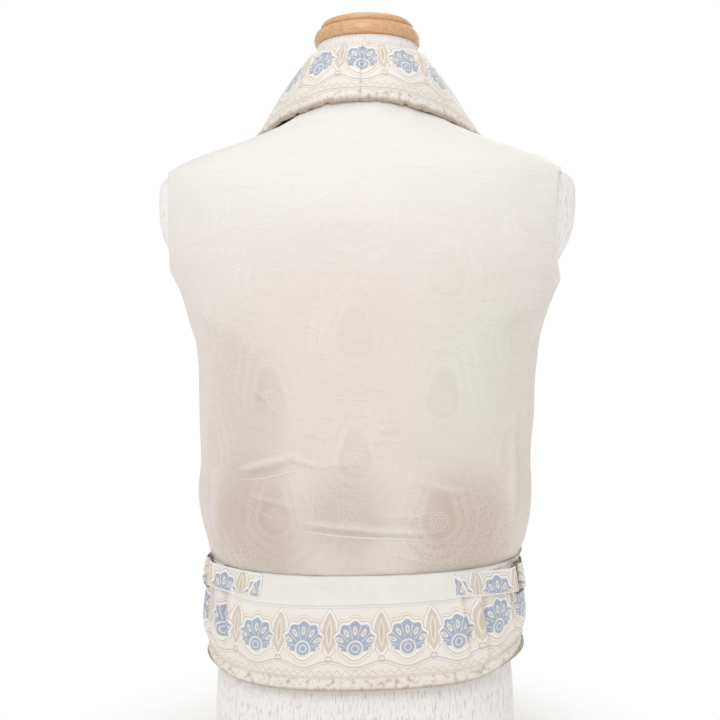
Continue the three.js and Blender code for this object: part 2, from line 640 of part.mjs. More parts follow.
for (let i = 0; i < BUTTON.count; i++) {
  const z = BUTTON.first - i * BUTTON.step;
  const rings = z > WAIST ? BODY : BAND;
  const out = outward(rings, 180, z, seamFlat(z));
  const seat = onRings(rings, 180, z).addScaledVector(out, EASE + PADDED + lapLift(0) + SEAM);
  const mesh = add(`button_${i + 1}`, button(), shell);
  mesh.position.copy(seat);
  mesh.quaternion.setFromUnitVectors(new THREE.Vector3(0, 0, 1), out);
}

// The origin is on the ground under the middle of the whole.
const whole = new THREE.Box3().setFromObject(vest).getCenter(new THREE.Vector3());
vest.position.set(-whole.x, -whole.y, 0);

export default vest;
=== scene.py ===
"""Padded vest with a turned-down collar and a printed hem band, on a linen-covered dress form.

The cloth pieces are fine shells on the frame's own faces, with their rolls, seams and creases shaped one by
one.
Lengths are in millimetres until a mesh is made. A turn is in degrees round the form's axis: 0 is the
centre back, 90 the wearer's left side, 180 the centre front.
"""
import math

import bmesh
import bpy
import numpy as np
from bpy.props import FloatProperty, PointerProperty, StringProperty
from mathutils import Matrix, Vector
from mathutils.bvhtree import BVHTree


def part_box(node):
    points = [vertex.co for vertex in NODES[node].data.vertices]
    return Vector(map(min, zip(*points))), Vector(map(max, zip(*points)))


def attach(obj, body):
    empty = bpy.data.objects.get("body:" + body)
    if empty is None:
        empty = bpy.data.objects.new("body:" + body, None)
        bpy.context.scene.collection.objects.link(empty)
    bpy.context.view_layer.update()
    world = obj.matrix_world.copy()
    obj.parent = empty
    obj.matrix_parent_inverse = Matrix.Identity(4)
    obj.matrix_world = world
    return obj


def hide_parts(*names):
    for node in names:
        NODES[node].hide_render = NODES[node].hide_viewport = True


bl_info = {
    "name": "Padded vest on a dress form",
    "version": (1, 0, 0),
    "blender": (4, 5, 0),
    "location": "3D View > Sidebar > Vest",
    "description": "Builds a padded vest with a printed hem band, its dress form and a plain stage",
    "category": "Object",
}

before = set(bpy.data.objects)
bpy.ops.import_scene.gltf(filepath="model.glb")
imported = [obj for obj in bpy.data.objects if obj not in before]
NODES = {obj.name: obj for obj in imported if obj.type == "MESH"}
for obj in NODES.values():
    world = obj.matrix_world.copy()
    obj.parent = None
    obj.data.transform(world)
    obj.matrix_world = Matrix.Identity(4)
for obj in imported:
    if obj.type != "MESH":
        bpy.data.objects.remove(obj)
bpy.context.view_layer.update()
MM = 0.001


def box_mm(node):
    low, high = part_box(node)
    return np.array(low) / MM, np.array(high) / MM


def srgb(code):
    """A colour written as six hex digits, turned to linear RGBA."""
    parts = [int(code[i : i + 2], 16) / 255 for i in (0, 2, 4)]
    linear = [c / 12.92 if c <= 0.04045 else ((c + 0.055) / 1.055) ** 2.4 for c in parts]
    return (*linear, 1.0)


def smooth(low, high, x):
    t = np.clip((np.asarray(x, float) - low) / (high - low), 0, 1)
    return t * t * (3 - 2 * t)


# ---- What the frame says ----
CAP_LOW, CAP_HIGH = box_mm("form_neck_cap")
NECK_FORWARD = 32  # how far the neck cap's middle is in front of the form's axis
AXIS_Y = (CAP_LOW[1] + CAP_HIGH[1]) / 2 + NECK_FORWARD
FAR = 400  # rays towards the axis start this far out
TURNS = np.arange(-200.0, 201.0, 1.0)  # the fronts lap past 180
HEIGHT_STEP = 2.0


def search_tree(node):
    """A search tree of a CAD node's faces, in millimetres."""
    mesh = NODES[node].data
    points = [vertex.co / MM for vertex in mesh.vertices]
    return BVHTree.FromPolygons(points, [list(face.vertices) for face in mesh.polygons])


def blur(grid, axis, sigma):
    """A Gaussian blur along one axis, with the end values repeated past the ends."""
    reach = max(1, int(math.ceil(3 * sigma)))
    weights = np.exp(-0.5 * (np.arange(-reach, reach + 1) / sigma) ** 2)
    weights /= weights.sum()
    widths = [(0, 0), (0, 0)]
    widths[axis] = (reach, reach)
    padded = np.pad(grid, widths, mode="edge")
    count = grid.shape[axis]
    out = np.zeros_like(grid)
    for shift, weight in enumerate(weights):
        out += weight * (padded[shift : shift + count] if axis == 0 else padded[:, shift : shift + count])
    return out


def look_up(grid, turns, heights, turn, z):
    """Bilinear values of a (height, turn) grid, with its edge values kept past the edges."""
    i = np.clip((np.asarray(z, float) - heights[0]) / (heights[1] - heights[0]), 0, len(heights) - 1.001)
    j = np.clip((np.asarray(turn, float) - turns[0]) / (turns[1] - turns[0]), 0, len(turns) - 1.001)
    i0, j0 = i.astype(int), j.astype(int)
    a, b = i - i0, j - j0
    low = grid[i0, j0] * (1 - b) + grid[i0, j0 + 1] * b
    high = grid[i0 + 1, j0] * (1 - b) + grid[i0 + 1, j0 + 1] * b
    return low * (1 - a) + high * a


class Skin:
    """The outer face of a CAD node as a smooth radius over turn and height."""

    SHOULDER = (585, 605)  # from here up the cloth lies on the shoulders, and is blurred less in height
    REACH = 118  # how many degrees the skin goes to either side of its middle

    def __init__(self, node, middle=0, under=None):
        self.tree = search_tree(node)
        low, high = box_mm(node)
        self.low, self.high = low[2], high[2]
        self.heights = np.arange(self.low + 0.4, self.high - 0.2, HEIGHT_STEP)
        self.turns = TURNS if under is None else np.arange(middle - self.REACH, middle + self.REACH + 1, 1.0)
        raw = np.array([[self.hit(t, z) or np.nan for t in self.turns] for z in self.heights])
        base = under.radius(self.turns[None, :], self.heights[:, None]) if under else np.zeros_like(raw)
        known = ~np.isnan(raw)
        wide, narrow = (self.mend(raw - base, known, sigma) for sigma in (5 / HEIGHT_STEP, 1.6 / HEIGHT_STEP))
        share = smooth(*self.SHOULDER, self.heights)[:, None]
        self.grid = base + wide * (1 - share) + narrow * share

    def hit(self, turn, z):
        """How far from the axis a level ray towards it meets the node, or None."""
        way = Vector((math.sin(math.radians(turn)), math.cos(math.radians(turn)), 0))
        start = Vector((0, centre_y(z), z)) + way * FAR
        distance = self.tree.ray_cast(start, -way, FAR)[3]
        return None if distance is None else FAR - distance

    @staticmethod
    def mend(values, known, sigma, across=3.0):
        """Blurs what is known, and carries it on past its edges."""
        filled = np.where(known, values, 0)
        share = known.astype(float)
        out = np.full(values.shape, np.nan)
        for wider in (1, 3, 9):
            top = blur(blur(filled, 0, sigma * wider), 1, across * wider)
            weight = blur(blur(share, 0, sigma * wider), 1, across * wider)
            out = np.where(np.isnan(out) & (weight > 0.02), top / np.maximum(weight, 1e-9), out)
        return np.nan_to_num(out, nan=float(np.mean(values[known])))

    def radius(self, turn, z):
        return look_up(self.grid, self.turns, self.heights, *np.broadcast_arrays(turn, z))

    def point(self, turn, z):
        turn, z = np.broadcast_arrays(np.asarray(turn, float), np.asarray(z, float))
        r, angle = self.radius(turn, z), np.radians(turn)
        return np.stack([r * np.sin(angle), centre_y(z) + r * np.cos(angle), z], -1)

    def ends(self, start, meets, step):
        """How far a node reaches to either side of a place that a ray meets."""
        found = []
        for way in (-step, step):
            inside = start
            while meets(inside + way):
                inside += way
            outside = inside + way
            for _ in range(9):
                middle = (inside + outside) / 2
                inside, outside = (middle, outside) if meets(middle) else (inside, middle)
            found.append(inside)
        return found

    def span(self, z, start):
        return self.ends(start, lambda turn: self.hit(turn, z) is not None, 1.0)

    def rise(self, turn, start):
        return self.ends(start, lambda z: self.hit(turn, z) is not None, 2.0)


CENTRES = None


def centre_y(z):
    """Y of the middle between the form's back and front at a height."""
    if CENTRES is None:
        return AXIS_Y
    value = np.interp(z, *CENTRES)
    return float(value) if np.ndim(value) == 0 else value


def measure_centres():
    tree = search_tree("form_torso")
    low, high = box_mm("form_torso")
    heights = np.arange(low[2] + 1, high[2] - 1, 4.0)
    middles = []
    for z in heights:
        ends = []
        for way in (1, -1):
            start = Vector((0, AXIS_Y + way * FAR, z))
            ends.append(AXIS_Y + way * (FAR - tree.ray_cast(start, Vector((0, -way, 0)))[3]))
        middles.append(sum(ends) / 2)
    return heights, blur(np.array(middles)[:, None], 0, 4.0)[:, 0]


CENTRES = measure_centres()
FORM = Skin("form_torso")
BACK, LEFT, RIGHT = 0, 135, -135  # the middle turns of the pieces
SKINS = {
    name: Skin(name, middle, FORM)
    for name, middle in (
        ("back_panel", BACK),
        ("front_panel_left", LEFT),
        ("front_panel_right", RIGHT),
        ("band_back", BACK),
        ("band_front_left", LEFT),
        ("band_front_right", RIGHT),
    )
}


# ---- Cloth walls ----
HEM_V = 104  # the border print is laid out in mm from the waist seam, and ends here at the hem's edge
SEAM_GAP = 0.02  # sewn edges nearly touch
SEAM_LOOK = 300  # the waist seam is looked for downwards from here
SEAM_EASE = 7.0  # within this distance of the waist seam the cloth comes to the seam's radius
BAND_LEVEL, BODY_LEVEL = 196, 400  # heights at which lengths round the body are measured
FORM_CLEARANCE, SHOULDER_FOOT = 0.4, 560  # below this height the cloth's inner face is kept clear of the form
TILT_FADES = 320  # above this height the rows are level
NECK_FADES = 678  # above this height the back's rows follow the neckline

# Creases: from one place to another (turn and height), width and height of the ridge. A trough lies below it.
BACK_CREASES = (
    (39.5, 413, 34, 400, 3.2, 1.1),
    (25, 354, 50, 339, 5.5, 1.7),
    (28, 356, 13, 345, 4.0, 1.2),
    (28, 297, -37, 286, 4.6, 1.5),
    (-6, 303, -30, 300, 5.0, 0.8),
    (23, 377, 10, 369, 3.5, 0.8),
    (-9, 378, -18, 383, 3.2, 0.9),
    (14, 344, -4, 351, 4.5, 0.9),
    (-1, 421, -14, 413, 3.5, 0.7),
    (-20, 335, -44, 322, 6.0, 0.9),
    (46, 320, 24, 309, 6.0, 1.0),
    (-66, 408, -63, 262, 13.0, 1.2),
    (-49, 350, -52, 264, 10.4, 0.5),
    (62, 352, 59, 258, 13.0, 1.1),
    (46, 300, 50, 258, 9.1, 0.5),
    (24, 568, -28, 552, 26.0, 0.5),
    (54, 506, 34, 446, 22.1, 0.7),
    (-54, 512, -36, 440, 22.1, 0.6),
    (70, 508, 48, 470, 10.4, 0.6),
    (-70, 508, -50, 474, 10.4, 0.6),
    (78, 500, 66, 440, 10.4, 0.7),
    (-78, 498, -66, 446, 10.4, 0.7),
    (16, 275, 30, 256, 5.0, 0.8),
    (-14, 270, -30, 258, 5.0, 0.8),
    (84, 330, 76, 258, 11.7, 0.8),
    (-84, 330, -77, 260, 11.7, 0.8),
)
# The same for the wearer's left front; the right front has them mirrored and a little apart.
FRONT_CREASES = (
    (100, 500, 124, 470, 10.4, 0.7),
    (104, 480, 132, 456, 11.7, 0.5),
    (98, 340, 102, 258, 13.0, 1.0),
    (118, 330, 114, 258, 11.7, 0.7),
    (136, 306, 168, 288, 5.0, 1.6),
    (150, 268, 140, 254, 5.0, 0.8),
    (128, 372, 148, 360, 5.0, 1.1),
    (160, 410, 172, 396, 4.0, 0.8),
    (112, 420, 126, 404, 5.0, 0.9),
    (146, 560, 128, 530, 15.6, 0.5),
    (162, 330, 172, 322, 4.0, 0.7),
)
BAND_CREASES = (
    (62, 240, 59, 168, 4.0, -2.6),
    (56, 236, 55, 176, 3.5, 1.4),
    (-46, 238, -49, 170, 3.4, -2.2),
    (-55, 238, -57, 162, 4.0, -2.8),
    (-51, 232, -53, 176, 3.5, 1.4),
    (-70, 236, -72, 172, 5.0, -1.6),
    (76, 238, 74, 176, 5.0, -1.6),
    (30, 244, 4, 232, 5.0, 0.9),
    (-8, 243, -30, 236, 4.5, 0.8),
    (36, 216, 14, 208, 6.0, 0.6),
)
FRONT_BAND_CREASES = (
    (112, 240, 110, 170, 4.5, -2.4),
    (119, 238, 118, 176, 4.0, 1.2),
    (138, 240, 141, 186, 5.0, -1.6),
    (152, 240, 168, 232, 5.0, 0.8),
)


def unit(vectors):
    return vectors / np.maximum(np.linalg.norm(vectors, axis=-1, keepdims=True), 1e-9)


def outward(points):
    """The way out of a grid of points whose rows go up and whose turns grow along each row."""
    return unit(np.cross(np.gradient(points, axis=0), np.gradient(points, axis=1)))


def run(points, axis):
    """How far along its row or column each point of a grid lies."""
    steps = np.linalg.norm(np.diff(points, axis=axis), axis=-1)
    first = np.zeros_like(np.take(steps, [0], axis=axis))
    return np.concatenate([first, np.cumsum(steps, axis=axis)], axis=axis)


def spread(length, step, rounding):
    """Shares of a length about a step apart, and closer where an edge is rounded."""
    near = rounding * np.array([0, 0.06, 0.24, 0.5, 0.8])
    middle = np.linspace(rounding, length - rounding, max(4, round((length - 2 * rounding) / step)))
    return np.concatenate([near, middle, length - near[::-1]]) / length


def arc_table(skin, z):
    """Turns, and the lengths round the skin at a height up to them."""
    turns = skin.turns
    return turns, run(skin.point(turns, z)[None], 1)[0]


SHARP_CREASES = (  # from one place on the cut to another, in mm, with their width and strength
    (60, 47, -74, 34, 1.6, 1.0), (-34, 58, -78, 61, 1.3, 0.45), (122, 86, 45, 100, 1.4, 0.8),
    (63, 109, 42, 98, 1.5, 0.6), (84, 166, 66, 145, 1.5, 0.55), (30, 166, -28, 160, 1.3, 0.5),
    (37, 137, 14, 129, 1.5, 0.65), (-14, 128, -44, 125, 1.4, 0.7), (6, 120, -33, 113, 1.3, 0.6),
    (43, 99, -36, 121, 1.2, 0.4), (-58, 87, -112, 80, 1.3, 0.55), (150, 160, 132, 142, 1.6, 0.6),
    (58, 238, 14, 220, 1.6, 0.35), (14, 20, -8, 16, 1.4, 0.35), (-62, 232, -92, 214, 1.5, 0.35),
    (-120, 142, -138, 124, 1.5, 0.5), (22, 186, 2, 192, 1.3, 0.35), (96, 60, 70, 52, 1.4, 0.4),
)


def sharp_relief(u, v):
    """The narrow creases on the flat cut, as shares of their full height."""
    total = np.zeros_like(u)
    for start_u, start_v, end_u, end_v, wide, strong in SHARP_CREASES:
        way = np.array([end_u - start_u, end_v - start_v])
        long = np.linalg.norm(way)
        way = way / long
        along = ((u - start_u) * way[0] + (v - start_v) * way[1]) / long
        aside = (v - start_v) * way[0] - (u - start_u) * way[1] + wide * np.sin(5 * along + start_u)
        ends = smooth(-0.05, 0.3, along) * (1 - smooth(0.7, 1.05, along))
        total = np.maximum(total, strong * ends * (1 - smooth(0, wide + SHARP_FOOT, np.abs(aside))))
    return total


SHARP_FOOT = 2.4  # the mesh can't hold a narrower crease, so there its foot is this much wider, in mm
CREASE_LEAN = 0.72  # share of the widths below at which raised creases are made


def crease_relief(across, z, table, creases, mirror=1):
    """Height of listed creases: a soft ridge along each line, with a trough on its lower side."""
    total = np.zeros_like(across)
    for turn, height, to_turn, to_height, wide, deep in creases:
        wide = wide * (CREASE_LEAN if deep > 0 else 1)
        start = np.array([np.interp(mirror * turn, *table), height])
        way = np.array([np.interp(mirror * to_turn, *table), to_height]) - start
        length = np.linalg.norm(way)
        way /= length
        up = np.array([-way[1], way[0]]) * (1 if way[0] > 0 else -1)
        along = ((across - start[0]) * way[0] + (z - start[1]) * way[1]) / length
        aside = (across - start[0]) * up[0] + (z - start[1]) * up[1]
        aside = aside + 0.35 * wide * np.sin(2.6 * along + 0.7 * turn)
        fade = smooth(-0.12, 0.3, along) * (1 - smooth(0.7, 1.12, along))
        trough = 0.55 * np.exp(-(((aside + 1.5 * wide) / wide) ** 2))
        total += deep * fade * (np.exp(-((aside / wide) ** 2)) - trough)
    return total


def undulation(across, z, phase):
    """Broad uneven waves of padded cloth, about half a millimetre high."""
    waves = (
        (0.045, 0.021, 0.26), (-0.031, 0.052, 0.22), (0.083, 0.034, 0.12), (0.022, -0.097, 0.12),
        (0.12, 0.09, 0.06),
    )
    total = np.zeros_like(across)
    for k, (fx, fz, high) in enumerate(waves):
        total += high * np.sin(fx * across + fz * z + phase + 1.7 * k + 0.8 * np.sin(0.017 * z + k))
    return total


def side_pull(turn, z):
    """How far the cloth hangs in at the wearer's left side, where it is slacker."""
    beside = np.exp(-(((turn - 88) / 26) ** 2))
    return 3.4 * beside * smooth(380, 430, z) * (1 - smooth(490, 535, z))


def seam_puckers(across, distance, high, pitch, fades, phase=0.0):
    """Small puckers that run away from a seam."""
    wave = np.sin(2 * np.pi * across / pitch + 1.9 * np.sin(across / (2.7 * pitch)) + phase)
    other = np.sin(2 * np.pi * across / (1.62 * pitch) + 2.3 + phase)
    return high * (0.6 * wave + 0.4 * other) * np.exp(-distance / fades)


class Waist:
    """The seam between a body panel and its band: its height and its radius round the form."""

    MARGIN = 4  # it is measured this far inside the side seams

    def __init__(self, body, band, middle):
        body, band = SKINS[body], SKINS[band]
        low, high = band.span(BAND_LEVEL, middle)
        self.turns = np.linspace(low + self.MARGIN, high - self.MARGIN, 50)
        start = {BACK: 0, LEFT: 125, RIGHT: -125}[middle]
        ends = body.span(SEAM_LOOK, start)
        inside = np.clip(self.turns, ends[0] + self.MARGIN, ends[1] - self.MARGIN)
        heights = [
            (body.rise(b, SEAM_LOOK)[0] + band.rise(t, BAND_LEVEL)[1]) / 2 for b, t in zip(inside, self.turns)
        ]
        self.heights = blur(np.array(heights)[:, None], 0, 1.5)[:, 0]
        self.radii = (body.radius(self.turns, self.heights) + band.radius(self.turns, self.heights)) / 2

    def height(self, turn):
        return np.interp(turn, self.turns, self.heights)

    def offset(self, skin, turn):
        """How far the seam is outside a skin there."""
        middle = np.clip(turn, self.turns[0], self.turns[-1])
        own = skin.radius(middle, self.height(middle))
        return np.interp(middle, self.turns, self.radii) - own


def body_grid(node, middle, step, rounding):
    """Turns and heights of a body panel's points, and the panel's lengths across and up."""
    skin = SKINS[node]
    towards = (1 if middle > 0 else -1) if middle else 0

    def start(z):
        return towards * float(np.interp(z, (650, 690), (125, 98)))

    low = skin.rise(start(BODY_LEVEL), BODY_LEVEL)[0]
    high = skin.rise(0, NECK_FADES)[1] if not middle else skin.high - 0.7
    heights = np.arange(256, (690 if not middle else high - 0.2), 2.5)
    ends = np.array([skin.span(z, start(z)) for z in heights])
    ends = blur(ends, 0, 0.7)
    fine = np.arange(low, high, 0.5)
    slopes = [np.abs(np.gradient(skin.radius(middle + t, fine), fine)) for t in (-40, 0, 40)]
    lengths = np.cumsum(np.sqrt(1 + (0.75 * np.max(slopes, axis=0)) ** 2)) * 0.5
    shares = spread(lengths[-1], step, rounding)
    levels = np.interp(shares * lengths[-1], lengths, fine)
    levels[0], levels[-1] = low, high
    edges = np.stack([np.interp(levels, heights, ends[:, k]) for k in (0, 1)])
    line = skin.point(np.linspace(*edges[:, len(levels) // 4], 60), BODY_LEVEL)
    width = np.linalg.norm(np.diff(line, axis=0), axis=1)
    across = spread(width.sum(), step, rounding)
    turn = edges[0][:, None] + (edges[1] - edges[0])[:, None] * across[None, :]
    z = np.repeat(levels[:, None], turn.shape[1], 1)
    z += (WAISTS[middle].height(turn) + SEAM_GAP - low) * (1 - smooth(low, TILT_FADES, z))
    if not middle:
        neck_turns = np.linspace(-90, 90, 31)
        neck = np.array([skin.rise(t, NECK_FADES)[1] for t in neck_turns])
        level = np.repeat(levels[:, None], turn.shape[1], 1)
        z += (np.interp(turn, neck_turns, neck) - high) * smooth(NECK_FADES, high, level)
    return turn, z


WAISTS = {
    BACK: Waist("back_panel", "band_back", BACK),
    LEFT: Waist("front_panel_left", "band_front_left", LEFT),
    RIGHT: Waist("front_panel_right", "band_front_right", RIGHT),
}


def band_grid(node, middle, step, rounding):
    skin = SKINS[node]
    ends = skin.span(BAND_LEVEL, middle)
    turns = np.linspace(ends[0] + Waist.MARGIN, ends[1] - Waist.MARGIN, 60)
    hem = blur(np.array([[skin.rise(t, BAND_LEVEL)[0]] for t in turns]), 0, 1.5)[:, 0]
    width = run(skin.point(np.linspace(*ends, 90), BAND_LEVEL)[None], 1)[0, -1]
    turn = ends[0] + (ends[1] - ends[0]) * spread(width, step, rounding)
    low, high = np.interp(turn, turns, hem), WAISTS[middle].height(turn) - SEAM_GAP
    up = spread(float(np.mean(high - low)), step * 0.8, rounding)
    z = low[None, :] + (high - low)[None, :] * up[:, None]
    return np.repeat(turn[None, :], len(up), 0), z


def padded_wall(points, relief, thick, edges):
    """Outer and inner faces of a padded sheet.

    Its low, high, first and last edges each give how far they are rounded and the share of the thickness
    left there.
    """
    out = outward(points)
    up, across = run(points, 0), run(points, 1)
    distances = (up, up[-1:] - up, across, across[:, -1:] - across)
    full = np.ones(points.shape[:2])
    for distance, (radius, least) in zip(distances, edges):
        full = np.minimum(full, np.maximum(least, np.sqrt(1 - (1 - np.clip(distance / radius, 0, 1)) ** 2)))
    full = full[..., None]
    middle = points - out * (thick / 2)
    raised = relief[..., None] * full
    outer = middle + out * (raised + full * thick / 2)
    return outer, clear_of_form(middle + out * (np.minimum(raised, 0.4) - full * thick / 2))


def clear_of_form(points):
    """Moves what would lie in the form out to its surface."""
    z = points[..., 2]
    aside = points[..., :2] - np.stack([np.zeros_like(z), centre_y(z)], -1)
    r = np.linalg.norm(aside, axis=-1)
    turn = np.degrees(np.arctan2(aside[..., 0], aside[..., 1]))
    least = np.maximum(r, FORM.radius(turn, z) + FORM_CLEARANCE)
    moved = points.copy()
    moved[..., :2] += aside * (least / r - 1)[..., None]
    return np.where((z < SHOULDER_FOOT)[..., None], moved, points)


def quads(index, flip=False):
    a, b, c, d = index[:-1, :-1], index[:-1, 1:], index[1:, 1:], index[1:, :-1]
    order = (a, b, c, d) if flip else (a, d, c, b)
    return np.stack(order, -1).reshape(-1, 4)


def wall_faces(rows, columns):
    """Quads of a closed wall between an outer and an inner grid."""
    outer = np.arange(rows * columns).reshape(rows, columns)
    inner = outer + rows * columns
    rims = (
        np.stack([outer[0], inner[0]]),
        np.stack([inner[-1], outer[-1]]),
        np.stack([inner[:, 0], outer[:, 0]]),
        np.stack([outer[:, -1], inner[:, -1]]),
    )
    return np.concatenate([quads(outer), quads(inner, True), *(quads(rim, True) for rim in rims)])


def new_piece(name, points, faces, look, uv=None, body="root"):
    """A smooth-shaded object from points in millimetres, which rides on a body. uv is in millimetres."""
    mesh = bpy.data.meshes.new(name)
    metres = np.asarray(points, float).reshape(-1, 3) * MM
    mesh.from_pydata(metres.tolist(), [], [list(face) for face in faces])
    mesh.polygons.foreach_set("use_smooth", np.ones(len(mesh.polygons), bool))
    mesh.materials.append(look)
    piece = bpy.data.objects.new(name, mesh)
    bpy.context.scene.collection.objects.link(piece)
    if uv is not None:
        lay_out(mesh, uv)
    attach(piece, body)
    return piece


def lay_out(mesh, uv):
    """Gives each corner the flat place, in metres, of its vertex on the cut cloth."""
    corners = np.zeros(len(mesh.loops), int)
    mesh.loops.foreach_get("vertex_index", corners)
    layer = mesh.uv_layers.new(name="Cut")
    layer.data.foreach_set("uv", (np.asarray(uv, float).reshape(-1, 2) * MM)[corners].ravel())


# The roundings of a panel's and a band's low, high, first and last edges: see padded_wall.
PANEL_EDGES = ((1.0, 0.85), (1.6, 0.45), (1.2, 0.6), (1.2, 0.6))
BAND_EDGES = ((4.5, 0.12), (1.0, 0.8), (1.2, 0.6), (1.2, 0.6))
# How far apart the puckers along the waist seam are, how far they reach from it, and how they ease in.
PUCKER_PITCH, PUCKER_FADES, PUCKER_EASE = 15, 12, (0, 7)
GRID_ROUNDING = 3.0  # the width along the edges where a grid's points lie closer


def body_panel(node, name, middle, creases, settings, look):
    turn, z = body_grid(node, middle, settings.mesh_step, GRID_ROUNDING)
    skin = SKINS[node]
    table = arc_table(skin, BODY_LEVEL)
    centre = np.interp({BACK: 0, LEFT: 180, RIGHT: -180}[middle], *table)
    across = np.interp(turn, *table)
    points = skin.point(turn, z)
    up = run(points, 0)
    relief = crease_relief(across, z, table, creases, -1 if middle < 0 else 1) * settings.crease
    heights = np.arange(skin.low, skin.high, 1.0)
    rise = np.interp(z, heights, run(skin.point(middle, heights)[:, None], 0)[:, 0])
    uv = np.stack([across - centre, rise], -1)
    folds = relief.copy()
    relief += 0.4 * settings.crease * sharp_relief(uv[..., 0], uv[..., 1])
    relief += undulation(across, z, 0.6 + middle) * smooth(0, 40, up) * settings.crease
    relief += seam_puckers(across, up, 1.1, PUCKER_PITCH, PUCKER_FADES) * smooth(*PUCKER_EASE, up)
    relief += 0.8 * smooth(0, 5, up) * np.exp(-(((up - 9) / 8) ** 2))
    relief -= side_pull(turn, z)
    relief += WAISTS[middle].offset(skin, turn) * np.exp(-((up / SEAM_EASE) ** 2))
    outer, inner = padded_wall(points, relief, settings.thickness, PANEL_EDGES)
    piece = new_piece(
        name, [outer, inner], wall_faces(*turn.shape), look, np.concatenate([uv, uv])
    )
    # The creases' height, from which the body material paints shade in their troughs and highlights on their
    # ridges.
    fold = piece.data.attributes.new("fold", "FLOAT", "POINT")
    fold.data.foreach_set("value", np.concatenate([folds, folds]).astype(np.float32).ravel())
    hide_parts(node)
    return piece


HEM_TUCK = 8.5  # how far the hem turns in at either side
BAND_FINER = 0.85  # the band's grid against the panels'


def hem_band(node, name, middle, creases, settings, look):
    turn, z = band_grid(node, middle, settings.mesh_step * BAND_FINER, GRID_ROUNDING)
    skin = SKINS[node]
    table = arc_table(skin, BAND_LEVEL)
    centre = np.interp({BACK: 0, LEFT: 180, RIGHT: -180}[middle], *table)
    across = np.interp(turn, *table)
    points = skin.point(turn, z)
    up = run(points, 0)
    relief = crease_relief(across, z, table, creases, -1 if middle < 0 else 1) * settings.crease
    relief += 0.6 * undulation(across, z, 2.1 + middle) * settings.crease
    below_seam = up[-1:] - up
    puckers = seam_puckers(across, below_seam, 1.0, PUCKER_PITCH, PUCKER_FADES)
    relief += puckers * smooth(*PUCKER_EASE, below_seam)
    relief += WAISTS[middle].offset(skin, turn) * np.exp(-((below_seam / SEAM_EASE) ** 2))
    sides = smooth(52, 84, np.abs(turn)) * (1 - smooth(100, 128, np.abs(turn)))
    relief -= HEM_TUCK * sides * (1 - smooth(0, 30, up))
    roll = np.sin(np.pi * np.clip(up / settings.roll_height, 0, 1)) ** 0.8
    flat = np.zeros_like(up)
    gathers = seam_puckers(across, flat, 0.34, 8.5, 1.0) + seam_puckers(across, flat, 0.2, 23, 1.0)
    relief += settings.roll_puff * roll * (1 + gathers)
    groove = np.exp(-(((up - settings.roll_height - 1) / 1.7) ** 2))
    relief -= groove * (1.1 + seam_puckers(across, flat, 0.35, 8, 1.0))
    relief += seam_puckers(across, np.abs(up - settings.roll_height - 1), 0.45, 10, 6)
    outer, inner = padded_wall(points, relief, settings.thickness, BAND_EDGES)
    uv = np.stack([across - centre, HEM_V - up], -1)
    piece = new_piece(
        name, [outer, inner], wall_faces(*turn.shape), look, np.concatenate([uv, uv])
    )
    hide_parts(node)
    stitch_up = settings.roll_height + 1
    row = int(np.argmin(np.abs(up[:, up.shape[1] // 2] - stitch_up)))
    stitches(f"{name}_stitches", outer[row], outward(outer)[row], settings)
    return piece


def stitches(name, path, out, settings):
    """A row of small raised stitches along a path on the cloth."""
    lengths = run(path[None], 1)[0]
    starts = np.arange(2, lengths[-1] - 3, settings.stitch_pitch)
    half = settings.stitch_pitch * 0.34
    thread = 0.28
    ring = np.linspace(0, 2 * np.pi, 6, endpoint=False)
    points, faces = [], []
    for start in starts:
        first = len(points)
        for share, size in ((-1, 0.35), (-0.6, 1), (0, 1), (0.6, 1), (1, 0.35)):
            at = start + half + share * half
            centre = np.array([np.interp(at, lengths, path[:, k]) for k in range(3)])
            up = unit(np.array([np.interp(at, lengths, out[:, k]) for k in range(3)]))
            ahead = np.array([np.interp(at + 0.5, lengths, path[:, k]) for k in range(3)]) - centre
            side = unit(np.cross(up, ahead))
            raised = centre + up * thread * (0.7 - 0.9 * share * share)
            points += [raised + thread * size * (math.cos(a) * side + math.sin(a) * up) for a in ring]
        for k in range(4):
            for j in range(6):
                a, b = first + 6 * k + j, first + 6 * k + (j + 1) % 6
                faces.append([a, b, b + 6, a + 6])
        faces += [[first + j for j in range(5, -1, -1)], [first + 24 + j for j in range(6)]]
    piece = new_piece(name, points, faces, thread_look(bpy.context.scene.vest_colours))
    return piece


# ---- Collar and tabs: the frame's own pieces, made fine ----
def fine_copy(node, name, levels, look, hard=None):
    """A copy of a CAD node with its triangles paired again and its faces subdivided smooth."""
    shape = bmesh.new()
    shape.from_mesh(NODES[node].data)
    bmesh.ops.remove_doubles(shape, verts=shape.verts, dist=0.005 * MM)
    bmesh.ops.join_triangles(
        shape, faces=shape.faces[:], angle_face_threshold=math.pi, angle_shape_threshold=math.pi
    )
    if hard:
        crease = shape.edges.layers.float.new("crease_edge")
        for edge in shape.edges:
            if all(hard(vertex.co / MM) for vertex in edge.verts):
                edge[crease] = 1.0
    mesh = bpy.data.meshes.new(name)
    shape.to_mesh(mesh)
    shape.free()
    piece = bpy.data.objects.new(name, mesh)
    bpy.context.scene.collection.objects.link(piece)
    modifier = piece.modifiers.new("Fine", "SUBSURF")
    modifier.levels = modifier.render_levels = levels
    done = bpy.data.meshes.new_from_object(piece.evaluated_get(bpy.context.evaluated_depsgraph_get()))
    piece.modifiers.clear()
    piece.data = done
    done.name = name
    bpy.data.meshes.remove(mesh)
    done.polygons.foreach_set("use_smooth", np.ones(len(done.polygons), bool))
    done.materials.clear()
    done.materials.append(look)
    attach(piece, "root")
    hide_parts(node)
    return piece


def places(mesh):
    flat = np.zeros(len(mesh.vertices) * 3, np.float32)
    mesh.vertices.foreach_get("co", flat)
    return flat.reshape(-1, 3).astype(float) / MM


def ways_out(mesh):
    return np.array([tuple(normal.vector) for normal in mesh.vertex_normals], float)


